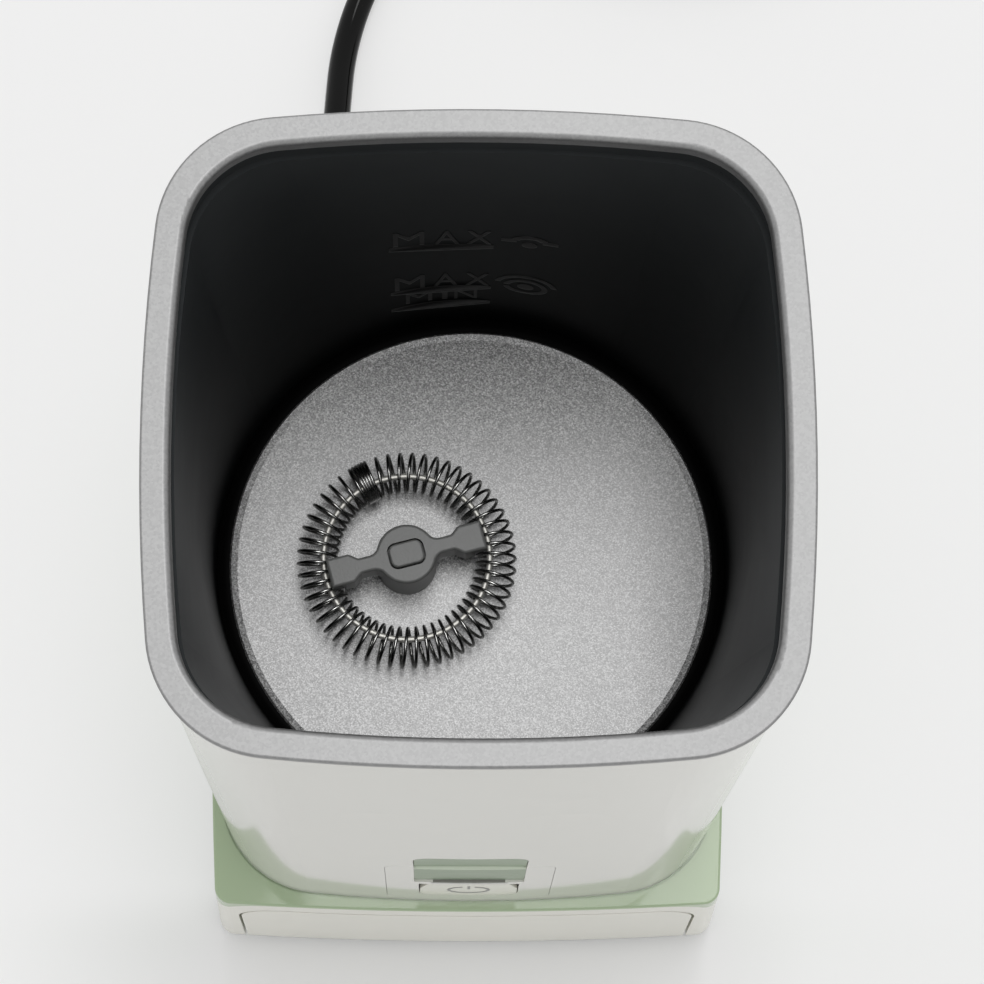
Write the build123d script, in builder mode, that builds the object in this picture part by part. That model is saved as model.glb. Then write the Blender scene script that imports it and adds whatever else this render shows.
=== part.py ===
"""Milk frother: a heated vessel in a white jacket on a moulded base, with a whisk turned by magnets.

Millimetres, +Z up, front towards -Y, origin on the floor under the middle of the base.
"""

import os
from math import atan, cos, degrees, dist, pi, radians, sin, sqrt, tan

from build123d import *

# Heights above the surface that the frother stands on
foot_height = 2.0
deck_height = 35.0
floor_height = 78.5
rim_height = 174.0

# Rim ring
rim_overhang = 0.8
rim_corner = 17.4
rim_bow = 1.4
rim_width = 4.1
rim_corner_drop = 3.2
rim_thickness = 2.5
rim_outer_round = 0.35
rim_inner_round = 1.0
rim_lower_round = 1.2

# Jacket: bowed sides, square at the rim and deeper at the foot
body_wall = 1.0
body_bow = 1.4
body_top_half = 45.2
body_top_corner = 17.0
body_foot_half_width = 44.6
body_foot_half_depth = 51.5
body_foot_corner = 17.5

# Vessel: a rounded square at the mouth and a circle at the floor
vessel_wall = 1.2
vessel_bow = 1.3
vessel_corner = 14.2
vessel_gap = 0.57
vessel_straight_height = 8.0
vessel_flange_thickness = 1.5
vessel_flange_width = 13.0
vessel_inset = 0.1
recess_depth = 4.0
recess_width = 0.5

# Heating plate, its seal and its studs
plate_edge_width = 2.05
plate_thickness = 1.5
plate_bead_width = 1.3
plate_bead_height = 0.4
plate_bead_round = 0.3
seal_thickness = 1.5
seal_lap = 4.0
seal_lip_height = 2.1
seal_hollow = 0.4
seal_fit = 0.03
stud_count = 3
stud_radius = 1.5
stud_inset = 8.5
stud_length = 8.0
stud_first_angle = 30.0
stud_hole_gap = 0.2
nut_across = 5.5
nut_height = 2.5
nut_fit = 0.03

# Heater, thermostat and fuse under the plate
heater_inset = 5.0
heater_tube_radius = 2.8
heater_flat = 0.4
heater_open_angle = 40.0
heater_pin_radius = 1.4
heater_pin_length = 10.0
terminal_width = 6.3
terminal_thickness = 0.8
terminal_length = 8.0
thermostat_radius = 8.0
thermostat_cap_radius = 6.4
thermostat_height = 8.0
thermostat_x = 12.0
fuse_radius = 2.0
fuse_length = 12.0
fuse_y = 15.0
fuse_pad_thickness = 1.0

# Drive under the plate, off the middle of the floor
drive_x = -10.6
shaft_radius = 1.0
shaft_running_gap = 0.05
shaft_fit = 0.02
carrier_radius = 8.5
carrier_thickness = 4.0
carrier_hub_radius = 3.5
carrier_hub_height = 6.0
carrier_cap_height = 1.4
carrier_gap = 0.6
drive_magnet_radius = 3.0
drive_magnet_height = 3.0
drive_magnet_rim = 0.7
magnet_fit = 0.02
bracket_height = 62.0
bracket_thickness = 1.5
bracket_length = 40.0
bracket_depth = 50.0
bracket_corner = 5.0
bracket_hole_x = 30.0
bracket_hole_y = 40.0
motor_radius = 12.0
motor_length = 24.0
motor_boss_radius = 3.5
motor_boss_height = 3.0
motor_boss_gap = 0.1
motor_edge_radius = 1.5
motor_screw_inset = 4.0
motor_screw_radius = 1.2
motor_screw_head_radius = 2.2
motor_screw_head_height = 1.4
motor_screw_depth = 4.0
shaft_tail = 1.5
bush_radius = 4.0
bush_waist_radius = 2.9
bush_bore_radius = 1.7
bush_flange_thickness = 2.0
bush_fit = 0.05
post_radius = 4.0

# Screws that hold the bracket, the boards and the cover
screw_radius = 1.5
screw_head_radius = 2.9
screw_head_height = 2.0
screw_depth = 8.0
screw_gap = 0.05

# Tie rods between the vessel and the deck
rod_radius = 2.0
rod_inset = 3.0
rod_count = 4
rod_first_angle = 45.0
rod_hole_gap = 0.2
rod_nut_across = 7.0
rod_nut_height = 3.2
rod_tail = 1.0

# Whisk
whisk_gap = 0.3
whisk_arm_angle = 15.0
hub_radius = 4.9
hub_height = 9.8
hub_edge_radius = 0.5
hub_blend = 1.8
arm_neck_width = 2.6
arm_end_width = 4.8
arm_neck_reach = 7.8
arm_flare_reach = 9.2
arm_flare_blend = 0.6
arm_reach = 13.0
arm_depth = 4.6
arm_tip_thickness = 2.0
arm_tip_start = 10.8
peg_width = 0.4
peg_length = 0.6
cap_length = 5.6
cap_width = 3.9
cap_corner = 1.2
cap_depth = 2.0
cap_rise = 0.4
cap_round = 0.36
cap_gap = 0.25
whisk_magnet_radius = 3.2
whisk_magnet_height = 3.0
whisk_magnet_inset = 0.2

# Spring of the whisk, and the wire ring inside it
coil_radius = 14.6
coil_minor_radius = 3.25
coil_wire_radius = 0.275
coil_centre_height = 4.6
coil_turns_per_round = 56
coil_turns = 55
coil_joint_pitches = 16
coil_sides = 4
ring_wire_radius = 0.5
ring_inset = 1.0
ring_coil_gap = 0.08

# Button plate, finger rest, light, button and switch in the front wall
button_plate_half_width = 14.0
button_plate_low = 38.0
button_plate_shoulder = 76.0
button_plate_top = 85.0
button_plate_corner = 3.0
button_plate_gap = 0.08
button_flange_thickness = 1.5
button_flange_width = 1.8
rest_half_width = 9.25
rest_low = 58.0
rest_step_height = 73.0
rest_step_depth = 0.75
rest_upper_sink = 0.05
rest_fit = 0.03
button_half_width = 8.3
button_low = 43.0
button_high = 55.6
button_corner = 2.5
button_shoulder_width = 1.4
button_shoulder_height = 5.5
button_gap = 0.2
button_thickness = 4.0
button_stop_width = 1.3
button_stop_gap = 0.3
button_travel = 1.0
button_stem_radius = 2.0
light_half_width = 6.5
light_height = 1.1
light_fit = 0.02
switch_board_setback = 12.54
switch_board_thickness = 1.6
switch_board_half_width = 16.5
switch_board_height = 18.0
switch_size = 6.2
switch_depth = 3.5
switch_plunger_radius = 1.5
switch_plunger_length = 4.0
switch_plunger_gap = 0.05
switch_post_x = 13.2
switch_post_radius = 2.4

# Base
deck_side_margin = 1.15
deck_end_margin = 1.8
base_side_flare = 1.15
base_end_flare = 2.8
base_corner = 3.0
base_bow = 1.3
base_side_wall = 3.6
base_end_wall = 4.2
cavity_corner = 2.0
deck_thickness = 2.5
deck_opening_radius = 20.0
deck_edge_radius = 0.4
collar_thickness = 1.5
collar_height = 4.0
collar_gap = 0.2
collar_gap_half_width = 19.0
groove_width = 0.3
groove_depth = 0.3

# Pale front of the base
fascia_thickness = 2.0
fascia_top_drop = 0.8
fascia_return = 5.5
fascia_corner = 13.0
fascia_side_width = 6.5
panel_top_drop = 4.8
panel_corner = 7.0
panel_gap = 0.5

# Underside
cover_thickness = 2.0
cover_gap = 0.5
cover_screw_inset = 9.9
cover_screw_y = 26.0
cover_boss_radius = 3.8
cover_sink_depth = 1.2
cover_sink_gap = 0.3
foot_radius = 5.5
foot_edge_radius = 0.7
foot_stem_radius = 2.0
foot_fit = 0.03
foot_side_inset = 13.9
foot_end_inset = 14.1

# Control board in the base
board_length = 56.0
board_depth = 60.0
board_thickness = 1.6
board_rise = 7.0
board_post_radius = 3.0
board_hole_inset = 4.0
transformer_size = (22.0, 18.0, 15.0)
transformer_place = (-12.0, 14.0)
relay_size = (19.0, 15.0, 14.0)
relay_place = (13.0, 14.0)
capacitor_radius = 5.0
capacitor_height = 15.0
capacitor_place = (14.0, -12.0)

# Mains lead: gland, free stretch, coil and plug
cord_radius = 2.6
cord_sides = 8
gland_x = -26.0
gland_height = 10.0
gland_length = 25.0
gland_wide_radius = 5.0
gland_narrow_radius = 3.4
gland_collar_radius = 6.6
gland_collar_thickness = 1.6
gland_wall_gap = 0.05
gland_face_gap = 1.0
gland_inner_gap = 1.6
gland_inner_radius = 5.7
loop_radius = 31.0
loop_pitch = 5.8
loop_start_angle = 148.0
loop_offset = (68.0, 90.0)
lead_drop = ((0.0, 10.5, 10.0), (0.6, 22.5, 6.8), (1.4, 34.5, 3.6), (4.6, 46.5, 2.6), (11.4, 60.5, 2.6))
layer_turns = 1.157
climb_turns = 0.5
layer_step = 5.8
lead_in = 23.0
loop_tail = 36.0
bend_share = 0.45
plug_neck_length = 14.0
plug_neck_width = 10.0
plug_neck_height = 9.0
plug_neck_corner = 4.0
plug_length = 20.0
plug_width = 26.0
plug_corner = 7.0
pin_radius = 2.4
pin_round = 1.4
pin_length = 19.0
pin_spacing = 19.0

# Levels and places worked out from the sizes above
rim_underside = rim_height - rim_thickness
plate_underside = floor_height - plate_thickness
flange_top = plate_underside - seal_thickness
flange_underside = flange_top - vessel_flange_thickness
straight_top = flange_underside + vessel_straight_height
recess_height = rim_underside - recess_depth
rim_half = body_top_half + rim_overhang
mouth_half = rim_half - rim_width
mouth_corner = rim_corner - rim_corner_drop
vessel_half = mouth_half - vessel_inset
jacket_lean = (body_top_half - body_foot_half_width) / (rim_underside - deck_height)
vessel_room = body_foot_half_width + min(
    jacket_lean * (flange_underside - deck_height), jacket_lean * (straight_top - deck_height)
)
vessel_floor_radius = vessel_room - body_wall - vessel_gap - vessel_wall
vessel_flange_radius = vessel_floor_radius - vessel_flange_width
plate_radius = vessel_floor_radius - plate_edge_width
stud_circle = vessel_floor_radius - stud_inset
rod_circle = vessel_floor_radius - rod_inset
heater_circle = vessel_flange_radius - heater_inset
drive_magnet_circle = carrier_radius - drive_magnet_rim - drive_magnet_radius
motor_screw_circle = motor_radius - motor_screw_inset
base_top_half_width = body_foot_half_width + deck_side_margin
base_top_half_depth = body_foot_half_depth + deck_end_margin
base_foot_half_width = base_top_half_width + base_side_flare
base_foot_half_depth = base_top_half_depth + base_end_flare
fascia_top = deck_height - fascia_top_drop
panel_top = fascia_top - panel_top_drop
panel_half_width = base_foot_half_width - fascia_side_width
cover_screw_x = base_foot_half_width - cover_screw_inset
foot_x = base_foot_half_width - foot_side_inset
foot_y = base_foot_half_depth - foot_end_inset
deck_underside = deck_height - deck_thickness
cover_top = foot_height + cover_thickness
board_height = cover_top + board_rise
board_top = board_height + board_thickness
post_top = bracket_height - bush_flange_thickness
bracket_top = bracket_height + bracket_thickness
bush_top = bracket_top + bush_flange_thickness
carrier_top = plate_underside - carrier_gap
carrier_underside = carrier_top - carrier_thickness
hub_underside = floor_height + whisk_gap
hub_top = hub_underside + hub_height
coil_height = floor_height + coil_centre_height
coil_pitch_angle = 360 / coil_turns_per_round
ring_radius = coil_radius - ring_inset
ring_reach = coil_minor_radius - coil_wire_radius - ring_wire_radius - ring_coil_gap
ring_height = coil_height + sqrt(ring_reach**2 - ring_inset**2)
board_hole_x = board_length - 2 * board_hole_inset
board_hole_y = board_depth - 2 * board_hole_inset
board_corners = GridLocations(board_hole_x, board_hole_y, 2, 2).locations
outline_passes = 60
octant = radians(22.5)


def bowed_outline(half_width, half_depth, corner, bow):
    """Outline of eight arcs that run smoothly into each other: four bowed sides and four corners."""
    reach_x = half_width / 2
    reach_y = half_depth / 2
    for _ in range(outline_passes):
        lean_x = 2 * atan(bow / reach_x)
        lean_y = 2 * atan(bow / reach_y)
        reach_x = (reach_x + half_width - bow - corner * (cos(lean_y) - sin(lean_x))) / 2
        reach_y = (reach_y + half_depth - bow - corner * (cos(lean_x) - sin(lean_y))) / 2
    side_x = half_width - bow
    side_y = half_depth - bow
    elbow_x = reach_x - corner * sin(lean_x) + corner * sqrt(0.5)
    elbow_y = side_y - corner * cos(lean_x) + corner * sqrt(0.5)
    with BuildSketch() as outline:
        with BuildLine():
            for side in (1, -1):
                ThreePointArc((-reach_x, side * side_y), (0, side * half_depth), (reach_x, side * side_y))
                ThreePointArc((side * side_x, -reach_y), (side * half_width, 0), (side * side_x, reach_y))
                for end in (1, -1):
                    ThreePointArc(
                        (end * reach_x, side * side_y),
                        (end * elbow_x, side * elbow_y),
                        (end * side_x, side * reach_y),
                    )
        make_face()
    return outline.sketch


def round_outline(radius):
    """Circle cut into the same eight arcs as a bowed outline."""
    return bowed_outline(radius, radius, radius, radius * (1 - cos(octant)))


def tapered(low_outline, low_height, high_outline, high_height):
    """Solid that runs from one outline to another."""
    with BuildPart() as block:
        with BuildSketch(Plane.XY.offset(low_height)):
            add(low_outline)
        with BuildSketch(Plane.XY.offset(high_height)):
            add(high_outline)
        loft()
    return block.part


def jacket(inset):
    """Space inside the jacket's outer face, drawn in by an inset."""
    foot = bowed_outline(
        body_foot_half_width - inset,
        body_foot_half_depth - inset,
        body_foot_corner - inset,
        body_bow,
    )
    top_half = body_top_half - inset
    top = bowed_outline(top_half, top_half, body_top_corner - inset, body_bow)
    return tapered(foot, deck_height, top, rim_underside)


def jacket_depth(height):
    """Distance of the jacket's front from the middle at a height."""
    share = (height - deck_height) / (rim_underside - deck_height)
    return body_foot_half_depth + share * (body_top_half - body_foot_half_depth)


def jacket_skin(outer_inset, inner_inset, outline):
    """Piece of the front wall between two insets, cut to an outline seen from the front."""
    with BuildPart() as skin:
        add(jacket(outer_inset))
        add(jacket(inner_inset), mode=Mode.SUBTRACT)
        with BuildSketch(Plane.XZ):
            add(outline)
        extrude(amount=2 * body_foot_half_depth, mode=Mode.INTERSECT)
    return skin.part


def base_block(side_inset, end_inset, corner, top_height):
    """Base from its foot up to a height, drawn in at the sides and at the ends."""
    share = (top_height - foot_height) / (deck_height - foot_height)
    top_half_width = base_foot_half_width + share * (base_top_half_width - base_foot_half_width)
    top_half_depth = base_foot_half_depth + share * (base_top_half_depth - base_foot_half_depth)
    foot = bowed_outline(
        base_foot_half_width - side_inset, base_foot_half_depth - end_inset, corner, base_bow
    )
    top = bowed_outline(top_half_width - side_inset, top_half_depth - end_inset, corner, base_bow)
    return tapered(foot, foot_height, top, top_height)


def base_depth(height):
    """Distance of the base's front and back from the middle at a height."""
    share = (height - foot_height) / (deck_height - foot_height)
    return base_foot_half_depth + share * (base_top_half_depth - base_foot_half_depth)


def arched(half_width, top, corner):
    """Outline seen from the front, with two round upper corners."""
    with BuildSketch() as outline:
        Rectangle(2 * half_width, 2 * top)
        fillet(outline.vertices(), corner)
    return outline.sketch


def plate_outline(grow):
    """Button plate seen from the front: a wide part below and a narrow tab above."""
    middle = (button_plate_low + button_plate_shoulder) / 2
    tab_middle = (button_plate_low + button_plate_top) / 2
    tab_height = button_plate_top - button_plate_low
    with BuildSketch() as outline:
        with Locations((0, middle)):
            RectangleRounded(
                2 * (button_plate_half_width + grow),
                button_plate_shoulder - button_plate_low + 2 * grow,
                button_plate_corner + grow,
            )
        with Locations((0, tab_middle)):
            RectangleRounded(
                2 * (rest_half_width + grow), tab_height + 2 * grow, button_plate_corner + grow
            )
    return outline.sketch


def rest_outline(shrink):
    """Finger rest seen from the front: the top of the plate's tab, down to the light."""
    with BuildSketch() as outline:
        add(plate_outline(-shrink))
        with Locations((0, rest_low + shrink)):
            Rectangle(
                2 * (rest_half_width - shrink),
                button_plate_top,
                align=(Align.CENTER, Align.MIN),
                mode=Mode.INTERSECT,
            )
    return outline.sketch


def button_outline():
    """Push button seen from the front, narrower towards its upper corners."""
    shoulder = button_high - button_shoulder_height
    with BuildSketch() as outline:
        with BuildLine():
            Polyline(
                (-button_half_width, button_low),
                (button_half_width, button_low),
                (button_half_width, shoulder),
                (button_half_width - button_shoulder_width, button_high),
                (button_shoulder_width - button_half_width, button_high),
                (-button_half_width, shoulder),
                close=True,
            )
        make_face()
        fillet(outline.vertices().group_by(Axis.Y)[0], button_corner)
    return outline.sketch


def window_outline(grow, top):
    """Window of the push button seen from the front, up to a height."""
    with BuildSketch() as outline:
        with Locations((0, button_low - grow)):
            Rectangle(
                2 * (button_half_width + grow),
                top - button_low + grow,
                align=(Align.CENTER, Align.MIN),
            )
        fillet(outline.vertices().group_by(Axis.Y)[0], button_corner + grow)
    return outline.sketch


def light_outline(grow):
    """Light bar seen from the front, just under the finger rest."""
    with BuildSketch() as outline:
        with Locations((0, rest_low - light_height / 2)):
            SlotOverall(2 * (light_half_width + grow), light_height + 2 * grow)
    return outline.sketch


def biarc(start, start_way, end, end_way):
    """Two arcs that leave one point along a direction and reach another along a direction."""
    chord = end - start
    opening = 2 * (1 - start_way.dot(end_way))
    along = chord.dot(start_way + end_way)
    reach = (sqrt(along**2 + opening * chord.dot(chord)) - along) / opening
    near = start + start_way * reach
    far = end - end_way * reach
    middle = (near + far) * 0.5
    return [
        Edge.make_tangent_arc(start, start_way, middle),
        Edge.make_tangent_arc(middle, (far - near).normalized(), end),
    ]


def wound_edges(point_at, first, last, steps):
    """Biarcs along a formula, from one value of its parameter to another."""
    nudge = 0.0001
    stops = [first + (last - first) * step / steps for step in range(steps + 1)]
    places = [point_at(stop) for stop in stops]
    ways = [(point_at(stop + nudge) - point_at(stop - nudge)).normalized() for stop in stops]
    edges = []
    for step in range(steps):
        edges += biarc(places[step], ways[step], places[step + 1], ways[step + 1])
    return edges


def least_gap(edges, tube_radius, turn_length):
    """Least gap of a wound tube to itself, measured on points along its path."""
    points = []
    travelled = 0.0
    samples = 6
    for edge in edges:
        for sample in range(samples):
            share = sample / samples
            points.append((travelled + share * edge.length, tuple(edge @ share)))
        travelled += edge.length
    nearest = min(
        dist(spot, other)
        for index, (place, spot) in enumerate(points)
        for other_place, other in points[index + 1 :]
        if other_place - place > turn_length / 2
    )
    return nearest - 2 * tube_radius


os.makedirs("parts", exist_ok=True)


def keep(part, name):
    """Name a finished piece and write it."""
    part.label = name
    export_step(part, f"parts/{name}.step")


# Rim ring: a flat collar over the jacket and the vessel
with BuildPart() as rim_ring:
    with BuildSketch(Plane.XY.offset(rim_underside)):
        add(bowed_outline(rim_half, rim_half, rim_corner, rim_bow))
    extrude(amount=rim_thickness)
    fillet(rim_ring.faces().sort_by(Axis.Z)[-1].edges(), rim_outer_round)
    fillet(rim_ring.faces().sort_by(Axis.Z)[0].edges(), rim_lower_round)
    with BuildSketch(Plane.XY.offset(rim_underside)):
        add(bowed_outline(mouth_half, mouth_half, mouth_corner, rim_bow))
    extrude(amount=rim_thickness, mode=Mode.SUBTRACT)
    fillet(rim_ring.faces().sort_by(Axis.Z)[-1].inner_wires().edges(), rim_inner_round)
keep(rim_ring.part, "rim_ring")

# Jacket: enamelled sheet round the whole body, open where the button plate sits
with BuildPart() as body_shell:
    add(jacket(0))
    add(jacket(body_wall), mode=Mode.SUBTRACT)
    with BuildSketch(Plane.XZ):
        add(plate_outline(button_plate_gap))
    extrude(amount=2 * body_foot_half_depth, mode=Mode.SUBTRACT)
keep(body_shell.part, "body_shell")

# Vessel: straight and round at the floor, then running out to the rounded square of the mouth
with BuildPart() as vessel:
    add(
        tapered(
            round_outline(vessel_floor_radius + vessel_wall),
            straight_top,
            bowed_outline(
                vessel_half + vessel_wall, vessel_half + vessel_wall, vessel_corner + vessel_wall, vessel_bow
            ),
            rim_underside,
        )
    )
    add(
        tapered(
            round_outline(vessel_floor_radius),
            straight_top,
            bowed_outline(vessel_half, vessel_half, vessel_corner, vessel_bow),
            rim_underside,
        ),
        mode=Mode.SUBTRACT,
    )
    with BuildSketch(Plane.XY.offset(recess_height)):
        add(
            bowed_outline(
                vessel_half + recess_width,
                vessel_half + recess_width,
                vessel_corner + recess_width,
                vessel_bow,
            )
        )
    extrude(amount=recess_depth, mode=Mode.SUBTRACT)
    with BuildSketch(Plane.XY.offset(flange_underside)):
        Circle(vessel_floor_radius + vessel_wall)
    extrude(amount=vessel_straight_height)
    with BuildSketch(Plane.XY.offset(flange_top)):
        Circle(vessel_floor_radius)
    extrude(amount=straight_top - flange_top, mode=Mode.SUBTRACT)
    with BuildSketch(Plane.XY.offset(flange_underside)):
        Circle(vessel_flange_radius)
        with PolarLocations(stud_circle, stud_count, stud_first_angle):
            Circle(stud_radius + stud_hole_gap)
    extrude(amount=vessel_flange_thickness, mode=Mode.SUBTRACT)
keep(vessel.part, "vessel")

# Heating plate: the floor, with a raised bead at its edge and studs below
with BuildPart() as heating_plate:
    with BuildSketch(Plane.XY.offset(plate_underside)):
        Circle(plate_radius)
    extrude(amount=plate_thickness)
    with BuildSketch(Plane.XZ):
        with BuildLine():
            Polyline(
                (plate_radius - plate_bead_width, floor_height),
                (plate_radius - plate_bead_round, floor_height + plate_bead_height),
                (plate_radius, floor_height + plate_bead_height - plate_bead_round),
                (plate_radius, plate_underside),
                (plate_radius - plate_bead_width, plate_underside),
                close=True,
            )
        make_face()
    revolve(axis=Axis.Z)
    with BuildSketch(Plane.XY.offset(plate_underside)):
        with PolarLocations(stud_circle, stud_count, stud_first_angle):
            Circle(stud_radius)
    extrude(amount=-stud_length)
keep(heating_plate.part, "heating_plate")

# Seal: lies on the flange under the plate and fills the corner up the wall with a hollow curve
seal_inner = plate_radius - seal_lap
seal_outer = vessel_floor_radius - seal_fit
seal_lip_inner = plate_radius + seal_fit
seal_middle = (seal_outer + seal_lip_inner) / 2
with BuildPart() as plate_seal:
    with BuildSketch(Plane.XZ):
        with BuildLine():
            Polyline(
                (seal_lip_inner, floor_height),
                (seal_lip_inner, plate_underside),
                (seal_inner, plate_underside),
                (seal_inner, flange_top),
                (seal_outer, flange_top),
                (seal_outer, floor_height + seal_lip_height),
            )
            ThreePointArc(
                (seal_outer, floor_height + seal_lip_height),
                (seal_middle + seal_hollow, floor_height + seal_lip_height / 2 - seal_hollow),
                (seal_lip_inner, floor_height),
            )
        make_face()
    revolve(axis=Axis.Z)
keep(plate_seal.part, "plate_seal")

with BuildPart() as plate_nuts:
    with BuildSketch(Plane.XY.offset(flange_underside)):
        with PolarLocations(stud_circle, stud_count, stud_first_angle):
            RegularPolygon(nut_across / 2, 6, major_radius=False)
            Circle(stud_radius + nut_fit, mode=Mode.SUBTRACT)
    extrude(amount=-nut_height)
keep(plate_nuts.part, "plate_nuts")

# Heater: an open ring of sheathed tube, flattened where it is brazed to the plate
heater_axis_height = plate_underside - heater_tube_radius + heater_flat
heater_pin_angle = heater_open_angle / 2 + degrees(heater_tube_radius / heater_circle)
heater_turn = radians(heater_open_angle / 2)
heater_plane = Plane(
    (0, 0, 0), x_dir=(cos(heater_turn), sin(heater_turn), 0), z_dir=(sin(heater_turn), -cos(heater_turn), 0)
)
with BuildPart() as heating_element:
    with BuildSketch(heater_plane):
        with Locations((heater_circle, heater_axis_height)):
            Circle(heater_tube_radius)
        with Locations((heater_circle, plate_underside)):
            Rectangle(
                4 * heater_tube_radius,
                4 * heater_tube_radius,
                align=(Align.CENTER, Align.MIN),
                mode=Mode.SUBTRACT,
            )
    revolve(axis=Axis.Z, revolution_arc=360 - heater_open_angle)
    with BuildSketch(Plane.XY.offset(heater_axis_height)):
        for side in (1, -1):
            with PolarLocations(heater_circle, 1, side * heater_pin_angle):
                Circle(heater_pin_radius)
    extrude(amount=-heater_pin_length)
keep(heating_element.part, "heating_element")

pin_bottom = heater_axis_height - heater_pin_length
with BuildPart() as heater_terminals:
    with BuildSketch(Plane.XY.offset(pin_bottom)):
        for side in (1, -1):
            with PolarLocations(heater_circle, 1, side * heater_pin_angle):
                Rectangle(terminal_thickness, terminal_width)
    extrude(amount=-terminal_length)
keep(heater_terminals.part, "heater_terminals")

with BuildPart() as thermostat:
    with BuildSketch(Plane.XY.offset(plate_underside)):
        with Locations((thermostat_x, 0)):
            Circle(thermostat_radius)
    extrude(amount=-thermostat_height / 2)
    with BuildSketch(Plane.XY.offset(plate_underside - thermostat_height / 2)):
        with Locations((thermostat_x, 0)):
            Circle(thermostat_cap_radius)
    extrude(amount=-thermostat_height / 2)
keep(thermostat.part, "thermostat")

with BuildPart() as thermal_fuse:
    with BuildSketch(Plane.XY.offset(plate_underside)):
        with Locations((0, fuse_y)):
            Rectangle(fuse_length, 2 * fuse_radius)
    extrude(amount=-fuse_pad_thickness)
    with BuildSketch(Plane.YZ.offset(-fuse_length / 2)):
        with Locations((fuse_y, plate_underside - fuse_pad_thickness - fuse_radius / 2)):
            Circle(fuse_radius)
    extrude(amount=fuse_length)
    with BuildSketch(Plane.XY.offset(plate_underside)):
        with Locations((0, fuse_y)):
            Rectangle(2 * fuse_length, 4 * fuse_radius)
    extrude(amount=fuse_radius, mode=Mode.SUBTRACT)
keep(thermal_fuse.part, "thermal_fuse")

# Motor on its bracket, on rubber bushes over four posts of the deck
bracket_corners = [
    Location((drive_x + side * bracket_hole_x / 2, end * bracket_hole_y / 2))
    for side in (1, -1)
    for end in (1, -1)
]
with BuildPart() as motor:
    with BuildSketch(Plane.XY.offset(bracket_height)):
        with Locations((drive_x, 0)):
            Circle(motor_radius)
    extrude(amount=-motor_length)
    fillet(motor.edges().filter_by(GeomType.CIRCLE), motor_edge_radius)
    with BuildSketch(Plane.XY.offset(bracket_height)):
        with Locations((drive_x, 0)):
            Circle(motor_boss_radius)
    extrude(amount=motor_boss_height)
    with BuildSketch(Plane.XY.offset(bracket_height + motor_boss_height)):
        with Locations((drive_x, 0)):
            Circle(shaft_radius + shaft_running_gap)
    extrude(amount=-motor_boss_height - motor_length, mode=Mode.SUBTRACT)
    with BuildSketch(Plane.XY.offset(bracket_height)):
        with Locations((drive_x, motor_screw_circle), (drive_x, -motor_screw_circle)):
            Circle(motor_screw_radius + screw_gap)
    extrude(amount=-motor_screw_depth, mode=Mode.SUBTRACT)
keep(motor.part, "motor")

with BuildPart() as motor_bracket:
    with BuildSketch(Plane.XY.offset(bracket_height)):
        with Locations((drive_x, 0)):
            RectangleRounded(bracket_length, bracket_depth, bracket_corner)
            Circle(motor_boss_radius + motor_boss_gap, mode=Mode.SUBTRACT)
        with Locations((drive_x, motor_screw_circle), (drive_x, -motor_screw_circle)):
            Circle(motor_screw_radius + screw_gap, mode=Mode.SUBTRACT)
        with Locations(bracket_corners):
            Circle(bush_waist_radius + bush_fit, mode=Mode.SUBTRACT)
    extrude(amount=bracket_thickness)
keep(motor_bracket.part, "motor_bracket")

with BuildPart() as motor_screws:
    with BuildSketch(Plane.XY.offset(bracket_top)):
        with Locations((drive_x, motor_screw_circle), (drive_x, -motor_screw_circle)):
            Circle(motor_screw_head_radius)
    extrude(amount=motor_screw_head_height)
    with BuildSketch(Plane.XY.offset(bracket_top)):
        with Locations((drive_x, motor_screw_circle), (drive_x, -motor_screw_circle)):
            Circle(motor_screw_radius)
    extrude(amount=screw_gap - bracket_thickness - motor_screw_depth)
keep(motor_screws.part, "motor_screws")

with BuildPart() as bracket_bushes:
    for low, height, radius in (
        (post_top, bush_flange_thickness, bush_radius),
        (bracket_height, bracket_thickness, bush_waist_radius),
        (bracket_top, bush_flange_thickness, bush_radius),
    ):
        with BuildSketch(Plane.XY.offset(low)):
            with Locations(bracket_corners):
                Circle(radius)
                Circle(bush_bore_radius, mode=Mode.SUBTRACT)
        extrude(amount=height)
keep(bracket_bushes.part, "bracket_bushes")


def screws(corners, head_underside, reach, downward):
    """Group of screws with flat round heads, one at each place."""
    way = -1 if downward else 1
    with BuildPart() as group:
        with BuildSketch(Plane.XY.offset(head_underside)):
            with Locations(corners):
                Circle(screw_head_radius)
        extrude(amount=-way * screw_head_height)
        with BuildSketch(Plane.XY.offset(head_underside)):
            with Locations(corners):
                Circle(screw_radius)
        extrude(amount=way * reach)
    return group.part


bush_length = bush_top - post_top
keep(screws(bracket_corners, bush_top, bush_length + screw_depth - screw_gap, True), "bracket_screws")

# Drive: shaft, carrier and its two magnets
with BuildPart() as motor_shaft:
    with BuildSketch(Plane.XY.offset(bracket_height - motor_length - shaft_tail)):
        with Locations((drive_x, 0)):
            Circle(shaft_radius)
    extrude(amount=carrier_top - carrier_cap_height - bracket_height + motor_length + shaft_tail)
keep(motor_shaft.part, "motor_shaft")

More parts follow.
